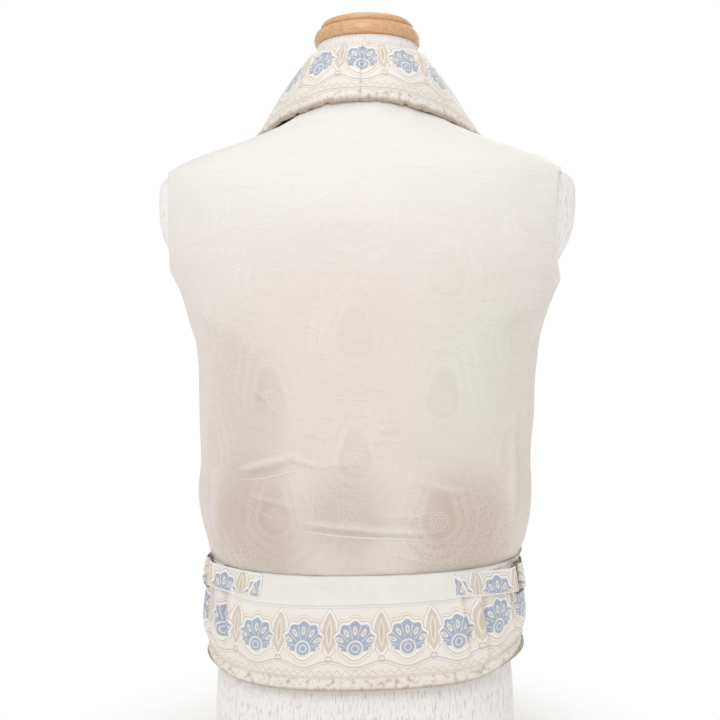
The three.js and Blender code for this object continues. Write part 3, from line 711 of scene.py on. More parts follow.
def move(mesh, points):
    mesh.vertices.foreach_set("co", (points * MM).astype(np.float32).ravel())
    mesh.update()


COLLAR_PRINT_ON = 90.0  # the print runs straight on past the collar point


def collar_edge(node, side):
    """Points along the collar's outer edge, from the centre back to the collar point and up its front edge.

    The second path is the line that the print follows: the lower edge, carried straight on past the point.
    """
    skin = Skin.__new__(Skin)
    skin.tree = search_tree(node)
    low, high = box_mm(node)
    found, corner = [], 0
    for turn in np.arange(1.0, 160.0, 2.5):
        z = low[2] - 1
        while z < high[2] and skin.hit(side * turn, z) is None:
            z += 1.0
        if z >= high[2]:
            break
        found.append((side * turn, z + 0.4))
    corner = len(found)
    last_turn, last_z = found[-1]
    for z in np.arange(last_z + 4, last_z + 60, 4.0):
        turn = abs(last_turn) + 12
        while turn > 90 and skin.hit(side * turn, z) is None:
            turn -= 0.5
        found.append((side * (turn - 0.3), z))
    path = []
    for turn, z in found:
        r = skin.hit(turn, z) or skin.hit(turn - side, z + 1)
        if r:
            angle = math.radians(turn)
            path.append((r * math.sin(angle), centre_y(z) + r * math.cos(angle), z))
    path = np.array(path)
    ahead = unit(path[corner - 1] - path[corner - 5])
    return path, np.concatenate([path[:corner], path[corner - 1] + ahead * np.array([[COLLAR_PRINT_ON]])])


def nearest_on(path, points):
    """For each point, its distance from a path and how far along the path that is."""
    lengths = run(path[None], 1)[0]
    at = np.arange(0, lengths[-1], 1.0)
    fine = np.stack([np.interp(at, lengths, path[:, k]) for k in range(3)], -1)
    best = np.full(len(points), np.inf)
    along = np.zeros(len(points))
    for start in range(0, len(fine), 40):
        block = fine[start : start + 40]
        squares = ((points[:, None, :] - block[None]) ** 2).sum(-1)
        nearest = squares.argmin(1)
        value = squares[np.arange(len(points)), nearest]
        better = value < best
        best[better] = value[better]
        along[better] = at[start + nearest[better]]
    return np.sqrt(best), along


# Notches in the collar's rolled edge: how far they are from the centre back on either half, width and depth.
NOTCHES = {
    1: (
        (13, 3.0, 0.9), (34, 2.6, 1.9), (52, 4.0, 0.8), (74, 3.0, 2.0), (101, 3.4, 1.4), (128, 4.0, 1.8),
        (166, 4, 1.5),
    ),
    -1: (
        (15, 2.4, 1.8), (27, 2.8, 1.2), (45, 3.2, 1.9), (66, 3.0, 1.6), (83, 3.4, 1.2), (109, 3.0, 1.9),
        (140, 4, 1.4),
    ),
}


# The halves end this far from the centre back and are drawn up to it, over the second width.
COLLAR_SEAM, COLLAR_DRAWN = 0.9, 6.0


def settle(points, path, distance, along, carriers):
    """Lets the collar's outer edge down on the cloth that carries it, and keeps it clear of that cloth."""
    trees = [search_tree(node) for node in carriers]

    def nearest(point):
        return min((tree.find_nearest(Vector(point)) for tree in trees), key=lambda found: found[3])

    lengths = run(path[None], 1)[0]
    shifts = []
    for point in path:
        found = nearest(point)
        way = np.array(found[0]) - point
        shifts.append(unit(way) * max(0.0, found[3] - COLLAR_LIES))
    shifts = blur(np.array(shifts), 0, 2.0)
    fall = 1 - smooth(0, COLLAR_GIVES, distance)
    moved = points + np.stack([np.interp(along, lengths, shifts[:, k]) for k in range(3)], -1) * fall[:, None]
    for i in np.flatnonzero(distance < COLLAR_GIVES):
        spot, normal, _, away = nearest(moved[i])
        if away < 3 and (moved[i] - np.array(spot)) @ np.array(normal) < COLLAR_AIR:
            moved[i] = np.array(spot) + np.array(normal) * COLLAR_AIR
    return moved


COLLAR_LIES, COLLAR_GIVES, COLLAR_AIR = 3.0, 45.0, 0.45  # lie of the outer edge, width that bends, least gap


def collar_half(node, name, side, settings, look):
    piece = fine_copy(node, name, 3, look, hard=lambda p: abs(p.x) < 1.0)
    mesh = piece.data
    points, out = places(mesh), ways_out(mesh)
    path, print_line = collar_edge(node, side)
    distance, along = nearest_on(path, points)
    roll = settings.roll_height
    bulge = np.sin(np.pi * np.clip(distance / roll, 0, 1)) ** 0.8
    lively = 1 + seam_puckers(along, np.zeros_like(along), 0.28, 13, 1.0, side)
    relief = 0.75 * settings.roll_puff * bulge * lively
    relief -= 1.0 * np.exp(-(((distance - roll - 0.8) / 1.5) ** 2)) * lively
    relief += seam_puckers(along, np.abs(distance - roll - 1), 0.4, 11, 5, side)
    for place, wide, deep in NOTCHES[side]:
        relief -= deep * np.exp(-(((along - place) / wide) ** 2)) * np.exp(-((distance / 6.5) ** 2))
    relief += 0.5 * np.sin(along / 23 + side) * smooth(roll, roll + 20, distance)
    middle = np.abs(points[:, 0])
    relief *= smooth(0.2, 6, middle) * 0.8 + 0.2
    relief -= 0.5 * np.exp(-((middle / 1.3) ** 2))
    moved = points + out * relief[:, None]
    drawn = (middle - COLLAR_SEAM) / (COLLAR_DRAWN - COLLAR_SEAM)
    beside = side * (SEAM_GAP + np.maximum(drawn, 0) * COLLAR_DRAWN)
    moved[:, 0] = np.where(middle < COLLAR_DRAWN, beside, moved[:, 0])
    move(mesh, settle(moved, path, distance, along, ("back_panel", node.replace("collar", "front_panel"))))
    below, beside = nearest_on(print_line, points)
    uv = np.stack([side * beside, HEM_V - below], -1)
    lay_out(mesh, uv)
    return piece


def side_tab(node, name, side, part, look):
    """A folded strip with piped edges and one slanting row of stitches near its sewn end."""
    piece = fine_copy(node, name, 3, look)
    mesh = piece.data
    points, out = places(mesh), ways_out(mesh)
    skin = SKINS["band_back" if part == "back" else f"band_front_{'left' if side > 0 else 'right'}"]
    turn = np.degrees(np.arctan2(points[:, 0], points[:, 1] - centre_y(BAND_LEVEL)))
    table = arc_table(skin, BAND_LEVEL)
    across = np.interp(turn, *table)
    sewn = across.min() if (side > 0) == (part == "back") else across.max()
    from_end = np.abs(across - sewn)
    bins = np.round(from_end / 3).astype(int)

    def edge_heights(pick):
        found = [pick(points[bins == b, 2]) if (bins == b).any() else np.nan for b in range(bins.max() + 1)]
        known = np.flatnonzero(~np.isnan(found))
        return np.interp(from_end / 3, known, np.array(found)[known])

    top, low = edge_heights(np.max), edge_heights(np.min)
    share = np.clip((top - points[:, 2]) / np.maximum(top - low, 1), 0, 1)
    height = float(np.mean(top - low))
    edge = np.minimum(share, 1 - share) * height
    piping = np.maximum(1 - smooth(0.9, 1.5, edge), 1 - smooth(0.9, 1.5, from_end))
    slant = np.abs((from_end - 4 - 10 * share) * math.cos(math.atan2(10, height)))
    seam = (1 - smooth(0.8, 1.4, slant)) * smooth(0.05, 0.1, share) * (1 - smooth(0.9, 0.95, share))
    relief = 0.28 * piping + 0.35 * seam - 0.3 * np.exp(-(((edge - 2.2) / 0.7) ** 2))
    move(mesh, points + out * relief[:, None])
    lay_out(mesh, np.stack([across - sewn, TAB_V + share * height], -1))
    trim = mesh.attributes.new("trim", "FLOAT", "POINT")
    trim.data.foreach_set("value", np.maximum(piping, seam).astype(np.float32))
    return piece


TAB_V = 37  # where on the border print the tabs are cut, in mm from the waist seam


# ---- Rings, buttons, thread ----
def lathe(profile, sides):
    """Points and faces of a solid turned about Z. The profile runs from the axis to the axis, foot first."""
    angles = np.linspace(0, 2 * np.pi, sides, endpoint=False)
    profile = np.asarray(profile, float)
    rings = [(r * np.cos(angles), r * np.sin(angles), np.full(sides, z)) for r, z in profile[1:-1]]
    around = [p for ring in rings for p in np.stack(ring, -1)]
    points = [(0, 0, profile[0, 1])] + around + [(0, 0, profile[-1, 1])]
    count = len(rings)
    faces = []
    for j in range(sides):
        k = (j + 1) % sides
        faces.append([0, 1 + k, 1 + j])
        for i in range(count - 1):
            a, b = 1 + i * sides, 1 + (i + 1) * sides
            faces.append([a + j, a + k, b + k, b + j])
        top = 1 + (count - 1) * sides
        faces.append([top + j, top + k, len(points) - 1])
    return np.array(points, float), faces


def rounded(profile, radius, steps=4):
    """A profile with its corners rounded off, by so much where there is room."""
    profile = np.asarray(profile, float)
    out = [profile[0]]
    for before, corner, after in zip(profile, profile[1:], profile[2:]):
        back, ahead = before - corner, after - corner
        cut = min(radius, 0.45 * np.linalg.norm(back), 0.45 * np.linalg.norm(ahead))
        a, b = corner + unit(back) * cut, corner + unit(ahead) * cut
        for t in np.linspace(0, 1, steps + 1):
            out.append((1 - t) ** 2 * a + 2 * t * (1 - t) * corner + t * t * b)
    out.append(profile[-1])
    return np.array(out)


HOLE = {"from_centre": 1.75, "radius": 0.85, "deep": 1.9}
BUTTON_SIDES = 72
# A strand of the sewing thread: how far it lies to the side, its radius, and its rings and their sides.
STRAND = {"aside": 0.32, "radius": 0.3, "rings": 9, "sides": 8}
BUTTON_PROFILE = (  # radius and height of the turned face, from the back up over the rim to the dish
    (0, 0.2), (5.2, 0.2), (6.6, 0.55), (7.6, 1.5), (8.0, 2.25), (7.75, 2.85), (7.2, 3.0), (6.4, 2.75),
    (5.3, 2.35), (4.2, 2.2), (3.4, 2.2), (2.9, 2.2), (2.5, 2.2), (2.1, 2.2), (1.7, 2.2), (1.3, 2.2),
    (0.9, 2.2), (0.4, 2.2), (0, 2.2),
)


def button_pose(node):
    """The middle of a button's back and the way that its face looks."""
    mesh = NODES[node].data
    points = places(mesh)
    centre = (points.min(0) + points.max(0)) / 2
    _, vectors = np.linalg.eigh(np.cov((points - points.mean(0)).T))
    axis = vectors[:, 0]
    axis *= -1 if axis[1] > 0 else 1
    heights = (points - centre) @ axis
    return centre + axis * heights.min(), axis


def button(node, look):
    foot, axis = button_pose(node)
    profile = rounded(BUTTON_PROFILE, 0.5, 2)
    points, faces = lathe(profile, BUTTON_SIDES)
    for k in range(4):
        angle = math.radians(45 + 90 * k)
        hole = HOLE["from_centre"] * np.array([math.cos(angle), math.sin(angle)])
        distance = np.linalg.norm(points[:, :2] - hole, axis=1)
        pit = 1 - smooth(HOLE["radius"] * 0.75, HOLE["radius"] * 1.15, distance)
        points[:, 2] -= np.where(points[:, 2] > 1.5, pit * HOLE["deep"], 0)
    turn = Vector((0, 0, 1)).rotation_difference(Vector(axis)).to_matrix()
    place = np.array(turn)
    piece = new_piece(f"{node}_face", points @ place.T + foot, faces, look)
    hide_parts(node)
    thread_points, thread_faces = [], []
    thin, rings, sides = STRAND["radius"], STRAND["rings"], STRAND["sides"]
    for x in (-1, 1):
        across = HOLE["from_centre"] * math.cos(math.pi / 4)
        for strand in (-STRAND["aside"], STRAND["aside"]):
            first = len(thread_points)
            for t in np.linspace(-1.25, 1.25, rings):
                lift = 2.3 + 0.42 * (1 - t * t) - (0.9 if abs(t) > 1.1 else 0)
                for a in np.linspace(0, 2 * np.pi, sides, endpoint=False):
                    beside, above = thin * math.cos(a), thin * math.sin(a)
                    thread_points.append((x * across + strand + beside, t * across, lift + above))
            for i in range(rings - 1):
                for j in range(sides):
                    a, b = first + sides * i + j, first + sides * i + (j + 1) % sides
                    thread_faces.append([a, a + sides, b + sides, b])
            last = first + sides * (rings - 1)
            thread_faces += [[first + j for j in range(sides)], [last + j for j in reversed(range(sides))]]
    sewn = np.array(thread_points) @ place.T + foot
    thread = thread_look(bpy.context.scene.vest_colours)
    new_piece(f"{node}_thread", sewn, thread_faces, thread)
    return piece


def refine(node_object, look, levels):
    """Rounds a CAD node by a modifier and gives it its finish. Its mesh stays as it is."""
    modifier = node_object.modifiers.new("Fine", "SUBSURF")
    modifier.levels = modifier.render_levels = levels
    node_object.data.materials.clear()
    node_object.data.materials.append(look)


# ---- Dress form ----
FORM_SEAMS = (0, 62, -62, 118, -118)  # the turns of the linen's seams
FORM_MESH = 200, 250  # points up and round the linen
CAP_SIDES = 96


def torso_piece(look):
    """The form's linen surface, from the frame's solid, with its stitched seams."""
    levels = np.arange(FORM.low, FORM.high, 0.5)
    slopes = [np.abs(np.gradient(FORM.radius(turn, levels), levels)) for turn in (0, 60, 120, 180, -60, -120)]
    lengths = np.cumsum(np.sqrt(1 + (0.6 * np.max(slopes, axis=0)) ** 2)) * 0.5
    shares = np.linspace(0, 1, FORM_MESH[0])
    z = np.interp(shares * lengths[-1], lengths, levels)
    z[0], z[-1] = FORM.low, FORM.high
    turns = np.linspace(-180, 180, FORM_MESH[1], endpoint=False)
    turn, height = np.meshgrid(turns, z)
    table = arc_table(FORM, BODY_LEVEL)
    across = np.interp(turn, *table)
    wrapped = (FORM.radius(-180, height) + FORM.radius(180, height)) / 2
    near_end = smooth(172, 180, np.abs(turn))
    points = FORM.point(turn, height)
    radial = np.stack([np.sin(np.radians(turn)), np.cos(np.radians(turn)), np.zeros_like(turn)], -1)
    points += radial * ((wrapped - FORM.radius(turn, height)) * near_end)[..., None]
    out = outward(points)
    groove = np.zeros_like(turn)
    for seam in FORM_SEAMS:
        away = np.abs(turn - seam) * np.radians(1) * FORM.radius(seam, height)
        groove = np.maximum(groove, np.exp(-((away / 1.0) ** 2)))
    puckers = seam_puckers(height, np.zeros_like(height), 0.22, 9, 1.0)
    relief = -0.5 * groove + puckers * np.exp(-((across / 14) ** 2))
    relief *= smooth(FORM.low, FORM.low + 6, height) * (1 - smooth(FORM.high - 6, FORM.high, height))
    points = points + out * relief[..., None]
    rows, columns = turn.shape
    index = np.arange(rows * columns).reshape(rows, columns)
    loop = np.concatenate([index, index[:, :1]], axis=1)
    faces = [list(face) for face in quads(loop)]
    low, high = rows * columns, rows * columns + 1
    faces += [[low, loop[0, j], loop[0, j + 1]] for j in range(columns)]
    faces += [[high, loop[-1, j + 1], loop[-1, j]] for j in range(columns)]
    caps = np.stack([points[0].mean(0), points[-1].mean(0)])
    everything = np.concatenate([points.reshape(-1, 3), caps])
    ends = np.array([[0, FORM.low], [0, FORM.high]])
    uv = np.concatenate([np.stack([across, height], -1).reshape(-1, 2), ends])
    piece = new_piece("form_linen_cover", everything, faces, look, uv)
    girth = float(np.interp(180, *table) - np.interp(-180, *table))
    mesh, layer = piece.data, piece.data.uv_layers["Cut"].data
    for face in mesh.polygons[: (rows - 1) * columns]:  # the last column's layout runs on past the first's
        corners = {i: mesh.loops[i].vertex_index % columns for i in face.loop_indices}
        if columns - 1 in corners.values():
            for i in (i for i, column in corners.items() if column == 0):
                layer[i].uv.x += girth * MM
    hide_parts("form_torso")
    return piece


CAP_PROFILE = (  # shares of the cap's radius and height, from the foot up
    (0, 0), (0.93, 0), (0.985, 0.04), (1.0, 0.2), (0.992, 0.36), (0.965, 0.5), (0.91, 0.585),
    (0.868, 0.6), (0.862, 0.645), (0.882, 0.69), (0.876, 0.78), (0.84, 0.9), (0.75, 0.975), (0.5, 1.0),
    (0.25, 1.0), (0, 1.0),
)


def cap_piece(look):
    size = (CAP_HIGH - CAP_LOW) / 2
    middle = (CAP_HIGH + CAP_LOW) / 2
    points, faces = lathe(rounded(CAP_PROFILE, 0.02), CAP_SIDES)
    points = points * np.array([size[0], size[1], 2 * size[2]]) + np.array([middle[0], middle[1], CAP_LOW[2]])
    piece = new_piece("form_cap_turned", points, faces, look)
    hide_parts("form_neck_cap")
    return piece


# ---- Materials ----
def add(tree, kind, *values, out=0, named=None, **settings):
    """Adds a node, with its operation after a colon, and gives one of its outputs.

    The values go to its inputs in order and by name. A socket is linked, and None leaves an input as it is.
    """
    kind, _, operation = kind.partition(":")
    node = tree.nodes.new("ShaderNode" + kind)
    if operation:
        node.operation = operation
    for field, value in settings.items():
        setattr(node, field, value)
    for place, value in [*enumerate(values), *(named or {}).items()]:
        if isinstance(value, bpy.types.NodeSocket):
            tree.links.new(value, node.inputs[place])
        elif value is not None:
            node.inputs[place].default_value = value
    return node.outputs[out] if node.outputs else node


def material(name, build, **finish):
    """A Principled material.

    build(tree) gives the sockets that it sets by nodes; finish sets the rest by value.
    """
    if name in bpy.data.materials:
        return bpy.data.materials[name]
    look = bpy.data.materials.new(name)
    look.use_nodes = True
    tree = look.node_tree
    tree.nodes.clear()
    linked = build(tree)
    shader = add(tree, "BsdfPrincipled", named={**finish, **linked})
    add(tree, "OutputMaterial", shader)
    return look


def layers(tree, ground, *coats):
    """Colours laid over one another, each through its mask."""
    for mask, colour in coats:
        ground = add(tree, "Mix", mask, named={6: ground, 7: colour}, out=2, data_type="RGBA")
    return ground


def cut_place(tree, wobble, grain):
    """The place on the cut cloth in millimetres, shifted a little so that drawn lines are uneven."""
    flat = add(tree, "UVMap", uv_map="Cut")
    flat = add(tree, "VectorMath:SCALE", flat, named={"Scale": 1 / MM})
    shift = add(tree, "TexNoise", flat, named={"Scale": 1 / grain, "Detail": 1.0}, out=1)
    shift = add(tree, "VectorMath:SUBTRACT", shift, (0.5, 0.5, 0.5))
    scaled = add(tree, "VectorMath:SCALE", shift, named={"Scale": 2 * wobble})
    return add(tree, "VectorMath:ADD", flat, scaled)


PERIOD = 47.0  # from one fan of the border print to the next
FAN = {"v": 66.0, "radius": 23.0, "narrowing": 0.16, "lobes": 12.0, "lobe_depth": 1.3, "reach": 1.86}
BUD = {"v": 52.5, "half_height": 18.5, "half_width": 6.4}


def border_cloth_look(colours):
    """Satin-faced padded cotton, printed: soft sheen, fine thread relief and slightly uneven inks."""

    def build(tree):
        def do(operation, *values):
            return add(tree, "Math:" + operation, *values)

        def within(distance, soft=0.35, strength=1.0):
            return add(
                tree, "MapRange", distance, -soft, soft, strength, 0.0, interpolation_type="SMOOTHSTEP"
            )

        def line(distance, half, strength=1.0):
            return within(do("SUBTRACT", do("ABSOLUTE", distance), half), 0.3, strength)

        place = cut_place(tree, 0.55, 9.0)
        u = add(tree, "SeparateXYZ", place)
        v = u.node.outputs[1]
        x = do("PINGPONG", u, PERIOD / 2)
        beside = do("SUBTRACT", PERIOD / 2, x)
        rise = do("SUBTRACT", FAN["v"], v)
        theta = do("ARCTAN2", x, rise)
        r = do("SQRT", do("ADD", do("POWER", x, 2.0), do("POWER", rise, 2.0)))
        lobes = do("MULTIPLY", do("COSINE", do("MULTIPLY", theta, FAN["lobes"])), FAN["lobe_depth"])
        narrowing = do("SUBTRACT", 1.0, do("MULTIPLY", do("POWER", theta, 2.0), FAN["narrowing"]))
        edge = do("ADD", do("MULTIPLY", narrowing, FAN["radius"]), lobes)
        reach = do("MULTIPLY", do("SUBTRACT", theta, FAN["reach"]), r)
        fan = do("MAXIMUM", do("SUBTRACT", r, edge), reach)
        cup = do("SUBTRACT", r, 7.4)
        shape = do("SMOOTH_MIN", fan, cup, 1.5)
        step = 2 * math.pi / FAN["lobes"]
        petal = do("MULTIPLY", do("PINGPONG", theta, step / 2), r)
        valley = do("MULTIPLY", do("SUBTRACT", step / 2, do("PINGPONG", theta, step / 2)), r)
        drop = do("SUBTRACT", do("SQRT", do("ADD",
                  do("POWER", do("DIVIDE", petal, 1.9), 2.0),
                  do("POWER", do("DIVIDE", do("SUBTRACT", r, 15.6), 3.9), 2.0))), 1.0)
        across = do("DIVIDE", do("SUBTRACT", v, BUD["v"]), BUD["half_height"])
        bulge = do("SUBTRACT", 1.0, do("POWER", do("ABSOLUTE", across), 2.2))
        bud = do("SUBTRACT", beside, do("MULTIPLY", bulge, BUD["half_width"]))
        bead = do("SUBTRACT", do("SQRT", do("ADD",
                  do("POWER", beside, 2.0), do("POWER", do("SUBTRACT", v, 75.0), 2.0))), 2.6)
        wave = do("COSINE", do("MULTIPLY", u, 2 * math.pi / PERIOD))
        scallop = do("SUBTRACT", do("SUBTRACT", v, 79.6), do("MULTIPLY", wave, 3.0))
        chevron = do("SUBTRACT", do("SUBTRACT", v, 85.2), do("PINGPONG", u, PERIOD / 12))
        stipple = add(tree, "TexVoronoi", place, named={"Scale": 1 / 2.1})
        flecks = add(tree, "TexVoronoi", place, named={"Scale": 1 / 3.2})
        broad = add(tree, "TexNoise", place, named={"Scale": 1 / 30, "Detail": 2.0})
        smudges = add(tree, "TexNoise", place, named={"Scale": 1 / 5.5, "Detail": 2.0})
        mottle = add(tree, "MapRange", smudges, 0.48, 0.7, 0.0, 1.0, interpolation_type="SMOOTHSTEP")
        below = within(do("SUBTRACT", 34.0, v), 3.0)
        on_hem = within(do("SUBTRACT", 92.6, v), 0.5)
        fleck = do("MULTIPLY", within(do("SUBTRACT", flecks, 0.2), 0.07, 0.4), on_hem)
        dots = do("MULTIPLY", within(do("SUBTRACT", stipple, 0.24), 0.08, 0.5), within(fan))
        strip, blue, cream, taupe, hem = (
            srgb(getattr(colours, name)) for name in ("strip", "blue", "cream", "taupe", "hem")
        )
        lit = srgb("FBF8F3")
        ribs = do("MULTIPLY", line(valley, 0.35, 0.6), within(do("SUBTRACT", 8.6, r)))
        colour = layers(
            tree, strip,
            (do("MULTIPLY", below, 0.5), cream),
            (line(do("SUBTRACT", v, 28.5), 0.5, 0.45), taupe),
            (line(do("SUBTRACT", v, 30.6), 0.3, 0.35), blue),
            (line(do("SUBTRACT", shape, 5.6), 0.4, 0.45), taupe),
            (within(do("SUBTRACT", bud, 2.6), 0.4, 0.6), lit),
            (line(do("SUBTRACT", bud, 2.8), 0.4, 0.6), taupe),
            (within(bud, 0.4, 0.6), taupe),
            (within(do("ADD", bud, 3.6), 0.4, 0.8), cream),
            (within(do("ADD", bud, 4.9), 0.3, 0.7), taupe),
            (line(bead, 0.5, 0.7), taupe),
            (within(do("SUBTRACT", shape, 2.4), 0.4, 0.65), lit),
            (line(do("SUBTRACT", shape, 2.9), 0.45, 0.75), taupe),
            (within(shape, 0.35, 0.95), blue),
            (dots, cream),
            (do("MULTIPLY", ribs, within(fan)), lit),
            (do("MULTIPLY", within(drop, 0.12, 0.85), within(fan)), cream),
            (do("MULTIPLY", within(do("ADD", drop, 0.55), 0.12, 0.8), within(fan)), taupe),
            (line(do("ADD", cup, 0.8), 0.8, 0.85), cream),
            (line(do("ADD", cup, 4.3), 0.55, 0.8), cream),
            (within(do("SUBTRACT", do("ABSOLUTE", do("SUBTRACT", v, 86.0)), 5.0), 2.0, 0.06), taupe),
            (line(scallop, 0.55, 0.6), blue),
            (line(do("SUBTRACT", scallop, 2.3), 0.4, 0.5), taupe),
            (line(chevron, 0.5, 0.6), taupe),
            (line(do("SUBTRACT", v, 90.6), 0.45, 0.6), taupe),
            (line(do("SUBTRACT", v, 92.4), 0.35, 0.5), blue),
            (on_hem, hem),
            (fleck, srgb("A98E72")),
            (do("MULTIPLY", do("MULTIPLY", mottle, on_hem), 0.7), srgb("BBAA98")),
            # A darker tan along the hem's lowest edge: partly the lining's tan showing below the roll, partly
            # painted shade under the roll.
            (within(do("SUBTRACT", 101.2, v), 1.8, 0.75), srgb("B09C86")),
        )
        shade = add(tree, "MapRange", broad, 0.3, 0.7, 0.97, 1.02)
        colour = add(tree, "VectorMath:SCALE", colour, named={"Scale": shade})
        weave = add(tree, "TexNoise", place, named={"Scale": 1 / WEAVE, "Detail": 1.0})
        normal = add(tree, "Bump", named={"Strength": 0.35, "Distance": 0.12 * MM, "Height": weave})
        return {"Base Color": colour, "Normal": normal}

    return material("printed_satin_faced_cotton_border", build, **COTTON)


# A drop-shaped motif in a half-drop repeat, in mm: the repeat, the drop's round end and how far its tip
# stands out.
DROP = {"across": 78.0, "up": 108.0, "radius": 17.0, "tip": 15.0, "tip_angle": 0.55}
# Satin-faced cotton: matt, with a soft light along its folds.
COTTON = {"Roughness": 0.58, "Specular IOR Level": 0.35, "Sheen Weight": 0.22, "Sheen Roughness": 0.4}
RUMPLE = 16.0  # distance in mm from one small wrinkle to the next
WEAVE = 0.9  # threads are about 0.3 mm apart, which is too fine to show, so the relief is drawn this coarse


